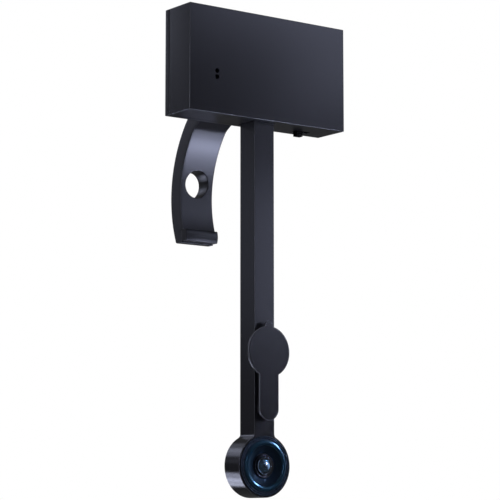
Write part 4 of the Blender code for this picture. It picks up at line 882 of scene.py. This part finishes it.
class SCREENCAM_OT_cover(bpy.types.Operator):
    """The swing cover and the post that it turns on"""

    bl_idname = "screencam.cover"
    bl_label = "Lens cover"

    def execute(self, context):
        sizes = context.scene.screen_camera_cover
        low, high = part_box("lens_cover")
        pivot_z = joint_place("cover_swing")[2]
        disc_z = pivot_z + sizes.pivot_rise
        nub_z = disc_z + sizes.disc_radius
        half_chord = math.asin(sizes.nub_radius / (2 * sizes.disc_radius))
        meet = math.asin(sizes.tail_half / sizes.disc_radius) - math.pi / 2
        half = np.concatenate([
            arc((0, nub_z), sizes.nub_radius, math.pi / 2, -half_chord, 19),
            arc((0, disc_z), sizes.disc_radius, math.pi / 2 - 2 * half_chord, meet, 61)[1:],
            np.linspace((sizes.tail_half, disc_z - 9 * MM), (sizes.tail_half, pivot_z), 12)[1:-1],
            arc((0, pivot_z), sizes.tail_half, 0, -math.pi / 2, 25),
        ])
        half[[0, -1], 0] = 0
        outline = np.concatenate([half * (-1, 1), half[-2:0:-1]])
        hub = np.array([0, disc_z])
        plate = rounded_plate("cover_plate_skin", outline, hub, low.y, high.y, sizes.edge, "front")
        add_piece(plate, "cover", finish("cover satin"), ("lens_cover",))
        self.add_post(sizes, pivot_z)
        return {"FINISHED"}

    def add_post(self, sizes, pivot_z):
        """The post: a flange with soft edges on a shaft, turned about the cover's pivot."""
        low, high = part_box("cover_post")
        depth, flange, shaft = high.y - low.y, high.x, sizes.shaft_radius
        flange_depth = sizes.flange_depth
        points = [
            (0, 0),
            (flange, 0),
            (flange, -flange_depth),
            (shaft, -flange_depth),
            (shaft, -depth),
            (0, -depth),
        ]
        soft = smooth_profile(points, np.full(4, 0.2 * MM))
        post = turned("cover_post_skin", soft[::-1], (0, low.y, pivot_z), "front", 72)
        add_piece(post, "cover", finish("shell satin"), ("cover_post",))


def joint_place(name):
    """Where a joint of the frame sits."""
    for joint in frame["joints"]:
        if joint["name"] == name:
            return np.array(joint["pos_m"], float)
    raise RuntimeError("the frame has no joint named " + name)


def unit(angle):
    """The unit step in a direction: its cosine and sine."""
    return np.array([math.cos(angle), math.sin(angle)])


def hole_level(sizes):
    """How high the hook's hole, which runs level, lies over the middle of the hook's circles."""
    return (sizes.inner_radius + sizes.outer_radius) / 2 * math.sin(sizes.hole_angle)


def hook_paths(sizes):
    """The hook's inner and outer edges seen from the side, as (y, z) points, with as many on each.

    Both start at the top of the round knuckle, run round it, follow circles of the inner and the
    outer radius down the strip, and meet under the tip. On the inside, a straight that grazes the
    knuckle and a tighter bend lead to the circle. The numbers of the first and the last point of
    the stretch that holds the hole are given too.
    """
    centre = np.array([sizes.centre_y, sizes.centre_z])
    inner, outer, knuckle_radius = sizes.inner_radius, sizes.outer_radius, sizes.knuckle_radius
    knuckle = joint_place("hook_hinge")[1:]
    reach = np.linalg.norm(knuckle - centre)
    root = math.atan2(*(knuckle - centre)[::-1])
    top = root + math.pi / 2

    cosine = (outer**2 + reach**2 - knuckle_radius**2) / (2 * outer * reach)
    meeting = root - math.acos(cosine)
    across = centre + outer * unit(meeting) - knuckle
    rear_meeting = math.atan2(across[1], across[0])

    def hole_side(sign):
        """The angle, on a circle of any radius, of the hole's level plus or less half the flat width."""
        level = hole_level(sizes) + sign * (sizes.half_width - sizes.edge)
        return lambda radius: math.asin(level / radius)

    seat_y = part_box("hook_pad")[1].y + sizes.pad_gap
    seat_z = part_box("hook_pad")[1].z + sizes.pad_gap
    tip_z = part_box("hook")[0].z
    ledge = math.asin((seat_z - centre[1]) / inner)
    heel = math.asin((tip_z + sizes.tip_round - centre[1]) / outer)
    bend = centre + (inner - sizes.bend_radius) * unit(sizes.bend_angle)
    away = knuckle - bend
    lean = math.acos((sizes.bend_radius + knuckle_radius) / np.linalg.norm(away))
    graze = math.atan2(away[1], away[0]) - lean
    leave = knuckle - knuckle_radius * unit(graze)
    meet = bend + sizes.bend_radius * unit(graze)
    hole_top, hole_low = hole_side(1), hole_side(-1)
    inner_parts = [
        arc(knuckle, knuckle_radius, top, graze + math.pi, 25),
        np.linspace(leave, meet, 7)[1:],
        arc(bend, sizes.bend_radius, graze, sizes.bend_angle, 9)[1:],
        arc(centre, inner, sizes.bend_angle, hole_top(inner), 14)[1:],
    ]
    outer_parts = [
        arc(knuckle, knuckle_radius, top, rear_meeting, 25),
        arc(centre, outer, meeting, hole_top(outer), 28)[1:],
    ]
    for parts, radius in ((inner_parts, inner), (outer_parts, outer)):
        parts.append(arc(centre, radius, hole_top(radius), hole_low(radius), 17)[1:])
        parts.append(arc(centre, radius, hole_low(radius), ledge, 14)[1:])
    hole_first = 24 + 27
    hole_last = hole_first + 16
    heel_point = arc(centre, outer, heel, heel, 1)[0]
    heel_corner = heel_point - np.array([sizes.tip_round, 0])
    under = (heel_corner[0] + seat_y) / 2
    toe = sizes.edge
    inner_parts.append(np.linspace(inner_parts[-1][-1], (seat_y, seat_z), 6)[1:])
    inner_parts.append(np.linspace((seat_y, seat_z), (seat_y, tip_z + toe), 9)[1:])
    inner_parts.append(arc((seat_y + toe, tip_z + toe), toe, math.pi, 1.5 * math.pi, 7)[1:])
    inner_parts.append(np.linspace((seat_y + toe, tip_z), (under, tip_z), 4)[1:])
    outer_parts.append(arc(centre, outer, ledge, heel, 10)[1:])
    outer_parts.append(arc(heel_corner, sizes.tip_round, 0, -math.pi / 2, 10)[1:])
    outer_parts.append(np.linspace((heel_corner[0], tip_z), (under, tip_z), 5)[1:])
    return np.concatenate(inner_parts), np.concatenate(outer_parts), hole_first, hole_last


def set_in(path, other):
    """For each point of a path that meets another at both ends, the unit step into the shape.

    It is the bend's own mitre: the sum of the two neighbours' normals, scaled to keep its depth.
    """
    around = np.concatenate([other[1:2], path, other[-2:-1]])
    along = np.diff(around, axis=0)
    along /= np.linalg.norm(along, axis=1, keepdims=True)
    normals = np.stack([-along[:, 1], along[:, 0]], -1)
    both = normals[:-1] + normals[1:]
    step = both / (1 + np.sum(normals[:-1] * normals[1:], -1))[:, None]
    towards = np.sum((other - path) * step, -1).mean()
    return step * math.copysign(1, towards)


def hook_surface(sizes):
    """The hook: its two edges spread across its width, with round edges, side faces and a hole.

    A face point is (x, path point). Past the flat width the path steps in by edge x (1 - cos t)
    while x gains edge x sin t. The side faces are straight lines from the inner to the outer
    path. Round the hole, rows run from a square of face to the hole's rim, then along its wall.
    """
    inner, outer, first, last = hook_paths(sizes)
    steps_in = {0: set_in(inner, outer), 1: set_in(outer, inner)}
    flat = sizes.half_width - sizes.edge
    across = np.linspace(-flat, flat, 17)
    turn = np.linspace(0, math.pi / 2, 6)
    patches, rims = [], {}

    def spread(points, xs):
        x = np.broadcast_to(xs, (len(points), len(xs)))
        y = np.broadcast_to(points[:, :1], x.shape)
        z = np.broadcast_to(points[:, 1:], x.shape)
        return np.stack([x, y, z], -1)

    for key, path in ((0, inner), (1, outer)):
        patches.append(spread(path[: first + 1], across))
        patches.append(spread(path[last:], across))
        for side in (-1, 1):
            rows = [path + steps_in[key] * sizes.edge * (1 - math.cos(t)) for t in turn]
            xs = [side * (flat + sizes.edge * math.sin(t)) for t in turn]
            grid = np.stack([np.column_stack([np.full(len(r), x), r]) for r, x in zip(rows, xs)], 1)
            patches.append(grid)
            rims[key, side] = grid[:, -1]
    share = np.linspace(0, 1, 5)[None, :, None]
    for side in (-1, 1):
        patches.append(rims[0, side][:, None] * (1 - share) + rims[1, side][:, None] * share)
    patches.append(hook_hole(sizes, inner, outer, across, first, last))
    return patches


def hook_hole(sizes, inner, outer, across, first, last):
    """One grid from a square of the inner face, over the hole's rim, along its wall and out again.

    The hole runs level. In its own axes a point is (x, s, h): s above its middle and h its depth.
    A face at radius R has h = sqrt(R^2 - (s + level)^2), where level is the hole's height over the
    middle of the circles. Between the square and the rim, x and s change evenly.
    """
    level = hole_level(sizes)
    bore, lip = sizes.hole_radius, sizes.hole_lip

    def square(path):
        s = path[first : last + 1, 1] - sizes.centre_z - level
        low, high = np.full(len(across), s[-1]), np.full(len(across), s[0])
        x = [across, np.full(len(s), across[-1]), across[::-1], np.full(len(s), across[0])]
        return np.concatenate(x), np.concatenate([low, s[::-1], high, s])

    x_in, s_in = square(inner)
    angle = np.arctan2(s_in, x_in)
    rows = []
    turn = np.linspace(0, math.pi / 2, 5)
    faces = ((inner, sizes.inner_radius, 1), (outer, sizes.outer_radius, -1))
    for path, radius, into in faces:
        x_edge, s_edge = square(path)
        x_rim, s_rim = (bore + lip) * np.cos(angle), (bore + lip) * np.sin(angle)
        made = []
        for part in (0, 0.35, 0.7, 0.92):
            x, s = x_edge + (x_rim - x_edge) * part, s_edge + (s_rim - s_edge) * part
            made.append((x, s, np.sqrt(radius**2 - (s + level) ** 2)))
        for t in turn:
            ring = bore + lip * (1 - math.sin(t))
            x, s = ring * np.cos(angle), ring * np.sin(angle)
            depth = np.sqrt(radius**2 - (s + level) ** 2) + into * lip * (1 - math.cos(t))
            made.append((x, s, depth))
        rows += made if into > 0 else made[::-1]
    grid = np.stack([np.stack(row, -1) for row in rows])
    return grid[..., [0, 2, 1]] + (0, sizes.centre_y, sizes.centre_z + level)


class SCREENCAM_OT_hook(bpy.types.Operator):
    """The curved hook and the pad at its tip"""

    bl_idname = "screencam.hook"
    bl_label = "Hook"

    def execute(self, context):
        sizes = context.scene.screen_camera_hook
        strip = weld("hook_strip", hook_surface(sizes))
        beyond = np.abs(corners(strip)[:, 0]) - (sizes.half_width - sizes.edge)
        mark_rounds(strip, beyond / sizes.edge)
        add_piece(strip, "hook", finish("hook satin"), ("hook",))
        self.add_pad(sizes)
        return {"FINISHED"}

    def add_pad(self, sizes):
        """The pad: a side outline with a gently round front, spread across the hook's width."""
        low, high = (np.array(corner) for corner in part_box("hook_pad"))
        reach = sizes.pad_gap - sizes.pad_clearance
        rear_y, top_z, low_z = high[1] + reach, high[2] + reach, low[2]
        half_height, middle_z = (top_z - low_z) / 2, (top_z + low_z) / 2
        radius = (half_height**2 + sizes.pad_bulge**2) / (2 * sizes.pad_bulge)
        sweep = math.asin(half_height / radius)
        front = arc((low[1] + radius, middle_z), radius, math.pi - sweep, math.pi + sweep, 25)
        side = np.concatenate([front, [(rear_y, low_z), (rear_y, top_z)]])
        closed = np.concatenate([side[-2:], side, side[:2]])
        rounds = np.full(len(closed) - 2, sizes.pad_round)
        outline = smooth_profile(closed, rounds, 6)[7:-8]
        hub = np.array([(low[1] + rear_y) / 2, middle_z])
        pad = rounded_plate("hook_pad_skin", outline, hub, low[0], high[0], sizes.pad_end, "right")
        add_piece(pad, "hook", finish("pad rubber"), ("hook_pad",))


class SCREENCAM_OT_switch(bpy.types.Operator):
    """The slide knob under the box"""

    bl_idname = "screencam.switch"
    bl_label = "Switch"

    def execute(self, context):
        low, high = (np.array(corner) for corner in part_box("switch_knob"))
        low_x, high_x = low[0], high[0]
        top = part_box("housing_shell")[0].z + 2.4 * MM
        grip = rounded_block(low, (high_x, high[1], top), 0.2 * MM)
        add_piece(weld("switch_knob_skin", grip), "switch", finish("knob black"), ("switch_knob",))
        return {"FINISHED"}


SLOT_FINISHES = {
    "slide_plastic": "slide plastic",
    "rubber": "pad rubber",
    "spring_steel": "bright steel",
    "plated_steel": "bright steel",
    "black_steel": "black steel",
    "washer_plastic": "chip black",
    "circuit_board": "circuit green",
    "chip": "chip black",
    "cable": "cable film",
    "lens_black": "bowl black",
    "lens_glass": "lens coating",
}


class SCREENCAM_OT_ribbon(bpy.types.Operator):
    """The ribbon's slack over the arm, as a smooth-shaded copy on the body that carries it"""

    bl_idname = "screencam.ribbon"
    bl_label = "Ribbon slack"

    def execute(self, context):
        for joint in frame["record"]["behaviour"]["joints"]:
            for fold in joint.get("deforming_nodes", ()):
                self.add_fold(joint, fold["node"], fold["fixed_end_z_m"])
        return {"FINISHED"}

    def add_fold(self, joint, node, fixed_z):
        """A smooth-shaded copy of the slack, on the joint's parent body."""
        mesh = merged_copy(node, node + "_skin")
        piece = add_piece(mesh, joint["parent"], finish("cable film"), (node,))
        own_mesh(piece)


class SCREENCAM_OT_inside(bpy.types.Operator):
    """Finishes for the screws, the hinge and the pieces inside, which keep their CAD shapes"""

    bl_idname = "screencam.inside"
    bl_label = "Hardware and insides"

    def execute(self, context):
        for row in frame["record"]["subparts"]:
            node = frame["nodes"][row["node"]]
            if node.hide_render:
                continue
            node.data.materials.clear()
            node.data.materials.append(finish(SLOT_FINISHES[row["material_slot"]]))
        return {"FINISHED"}


# Stage


COOL = (0.78, 0.82, 1.0)
NEUTRAL = (0.94, 0.95, 1.0)
BOX_TOP = (0, -0.0135, 0.07)
BOX_RIGHT = (0.051, -0.0135, 0.04)
ARM_FRONT = (0.019, -0.0135, -0.05)
ARM_SIDE = (-0.012, -0.007, -0.03)
HOOK_FACE = (0, 0.027, -0.003)
ARM_FOOT = (0, -0.007, -0.125)
# Lamps: name, target, degrees round from the front, degrees up, distance, width, height, beam angle,
# power, colour
LAMPS = (
    ("Fill", (0, 0, -0.05), -75, 8, 1.0, 0.25, 0.25, 180, 0.85, NEUTRAL),
    ("Box top glow", BOX_TOP, 36.9, 16.5, 0.4, 0.09, 0.09, 60, 0.0056, COOL),
    ("Box right glow", BOX_RIGHT, 39.9, 13.8, 0.4, 0.09, 0.09, 60, 0.0059, COOL),
    ("Arm glow", ARM_FRONT, 38.1, 7.6, 0.4, 0.09, 0.09, 40, 0.0024, COOL),
    ("Hook lowest glow", HOOK_FACE, 56, -46.5, 0.45, 0.08, 0.08, 16, 0.001, COOL),
    ("Hook low glow", HOOK_FACE, 45, -37.5, 0.45, 0.08, 0.08, 16, 0.0068, COOL),
    ("Hook mid glow", HOOK_FACE, 40, -28.5, 0.45, 0.08, 0.08, 16, 0.0018, COOL),
    ("Hook high glow", HOOK_FACE, 37, -19, 0.45, 0.08, 0.08, 16, 0.0019, COOL),
    ("Rear low near glow", ARM_FOOT, -147.5, -18.5, 1.1, 0.18, 0.18, 180, 0.71, COOL),
    ("Rear low mid glow", ARM_FOOT, -154.5, -27.5, 1.1, 0.18, 0.18, 180, 1.15, COOL),
    ("Rear low far glow", ARM_FOOT, -165, -33.5, 1.1, 0.18, 0.18, 180, 0.81, COOL),
    ("Rear high near glow", ARM_FOOT, -152, 25, 1.1, 0.18, 0.18, 180, 0.21, COOL),
    ("Rear high mid glow", ARM_FOOT, -160, 31.5, 1.1, 0.18, 0.18, 180, 0.29, COOL),
    ("Rear high far glow", ARM_FOOT, -174, 36, 1.1, 0.18, 0.18, 180, 0.076, COOL),
    ("Left glow", ARM_SIDE, -143, 7, 1.0, 0.12, 0.16, 180, 0.034, COOL),
    ("Back soft light", (0, 0, -0.05), 172, -5, 1.5, 0.8, 0.3, 180, 0.42, NEUTRAL),
    ("Right soft light", (0, 0, -0.05), 102, -5, 1.5, 0.6, 0.3, 180, 0.25, NEUTRAL),
    ("Front soft light", BOX_TOP, -2, -9, 1.5, 0.5, 0.28, 14, 0.0009, NEUTRAL),
    ("Top soft light", (0, 0, 0), 0, 78, 1.2, 0.7, 0.7, 180, 0.77, NEUTRAL),
    ("Lens key", ARM_FOOT, 55, 18, 0.4, 0.03, 0.03, 16, 0.007, COOL),
    ("Lens halo", ARM_FOOT, 57, 16, 0.4, 0.18, 0.18, 24, 0.0095, COOL),
    ("Lens side strip", ARM_FOOT, 80, 2, 0.4, 0.16, 0.26, 40, 0.021, COOL),
    ("Lens spark", ARM_FOOT, 16, 5, 0.4, 0.012, 0.012, 24, 0.0004, COOL),
)


def add_lamp(name, target, round_angle, up_angle, distance, width, height, beam, power, colour):
    """An area lamp that stands in a direction from its target and faces it."""
    light = bpy.data.lights.new(name, "AREA")
    light.shape = "RECTANGLE"
    light.size, light.size_y = width, height
    light.spread = math.radians(beam)
    light.energy = power
    light.color = colour
    lamp = bpy.data.objects.new(name, light)
    turn, lift = math.radians(round_angle), math.radians(up_angle)
    flat = math.cos(lift)
    away = Vector((math.sin(turn) * flat, -math.cos(turn) * flat, math.sin(lift)))
    lamp.location = Vector(target) + away * distance
    lamp.rotation_euler = away.to_track_quat("Z", "Y").to_euler()
    lamp.visible_camera = False
    bpy.context.scene.collection.objects.link(lamp)


class SCREENCAM_OT_stage(bpy.types.Operator):
    """The camera, the lamps, the floor and the white surroundings"""

    bl_idname = "screencam.stage"
    bl_label = "Stage"

    def execute(self, context):
        stage = context.scene.screen_camera_stage
        camera = bpy.data.objects.new("Camera", bpy.data.cameras.new("Camera"))
        camera.data.lens = stage.focal_length
        camera.location = stage.eye
        camera.rotation_euler = stage.aim
        context.scene.collection.objects.link(camera)
        context.scene.camera = camera
        context.scene.view_settings.view_transform = "Standard"
        for lamp in LAMPS:
            add_lamp(*lamp)
        self.add_floor(stage)
        self.add_world(stage)
        return {"FINISHED"}

    def add_floor(self, stage):
        reach = 3.0
        side = np.linspace(-reach, reach, 2)
        x, y = np.meshgrid(side, side, indexing="ij")
        mesh = weld("Floor", [np.stack([x, y, np.full_like(x, stage.floor_level)], -1)])
        floor = bpy.data.objects.new("Floor", mesh)
        bpy.context.scene.collection.objects.link(floor)
        floor.visible_glossy = False
        pale = satin("floor pale", (0.8, 0.8, 0.8), (0.82, 0.82, 0.82), 0.8, 0.02)
        nodes, links = pale.node_tree.nodes, pale.node_tree.links
        seen = nodes.new("ShaderNodeMath")
        seen.operation = "MULTIPLY"
        seen.inputs[1].default_value = stage.floor_lift
        links.new(nodes.new("ShaderNodeLightPath").outputs["Is Camera Ray"], seen.inputs[0])
        nodes["Principled BSDF"].inputs["Emission Color"].default_value = (1, 1, 1, 1)
        links.new(seen.outputs[0], nodes["Principled BSDF"].inputs["Emission Strength"])
        mesh.materials.append(pale)

    def add_world(self, stage):
        """White to the camera and through glass, an even light on dull faces, a share of it in gloss."""
        world = bpy.data.worlds.new("Studio")
        bpy.context.scene.world = world
        world.use_nodes = True
        nodes, links = world.node_tree.nodes, world.node_tree.links
        rays = nodes.new("ShaderNodeLightPath")
        level = nodes.new("ShaderNodeMix")
        level.inputs["A"].default_value = stage.ambient
        level.inputs["B"].default_value = stage.gloss_share
        links.new(rays.outputs["Is Glossy Ray"], level.inputs["Factor"])
        strength = level.outputs["Result"]
        for kind in ("Is Camera Ray", "Is Transmission Ray"):
            brighter = nodes.new("ShaderNodeMath")
            brighter.operation = "MAXIMUM"
            links.new(rays.outputs[kind], brighter.inputs[0])
            links.new(strength, brighter.inputs[1])
            strength = brighter.outputs[0]
        nodes["Background"].inputs["Color"].default_value = (1, 1, 1, 1)
        links.new(strength, nodes["Background"].inputs["Strength"])


class SCREENCAM_PT_panel(bpy.types.Panel):
    """Lists the pieces and their settings"""

    bl_idname = "SCREENCAM_PT_panel"
    bl_label = "Monitor-hung camera"
    bl_space_type = "VIEW_3D"
    bl_region_type = "UI"
    bl_category = "Camera"

    def draw(self, context):
        for operator in OPERATORS:
            self.layout.operator(operator.bl_idname)
        for settings in SETTINGS:
            group = getattr(context.scene, settings)
            box = self.layout.box()
            for name in group.__annotations__:
                box.prop(group, name)


OPERATORS = (
    SCREENCAM_OT_stage,
    SCREENCAM_OT_housing,
    SCREENCAM_OT_arm,
    SCREENCAM_OT_lens,
    SCREENCAM_OT_cover,
    SCREENCAM_OT_hook,
    SCREENCAM_OT_switch,
    SCREENCAM_OT_ribbon,
    SCREENCAM_OT_inside,
)
SETTINGS = {
    "screen_camera_stage": StageSettings,
    "screen_camera_hook": HookSizes,
    "screen_camera_lens": LensSizes,
    "screen_camera_cover": CoverSizes,
    "screen_camera_looks": LookSettings,
}
CLASSES = (*SETTINGS.values(), *OPERATORS, SCREENCAM_PT_panel)


def register():
    for cls in CLASSES:
        bpy.utils.register_class(cls)
    for name, settings in SETTINGS.items():
        setattr(bpy.types.Scene, name, PointerProperty(type=settings))


def unregister():
    for name in SETTINGS:
        delattr(bpy.types.Scene, name)
    for cls in reversed(CLASSES):
        bpy.utils.unregister_class(cls)


def main():
    register()
    for operator in OPERATORS:
        group, name = operator.bl_idname.split(".")
        getattr(getattr(bpy.ops, group), name)()


if __name__ == "__main__":
    main()
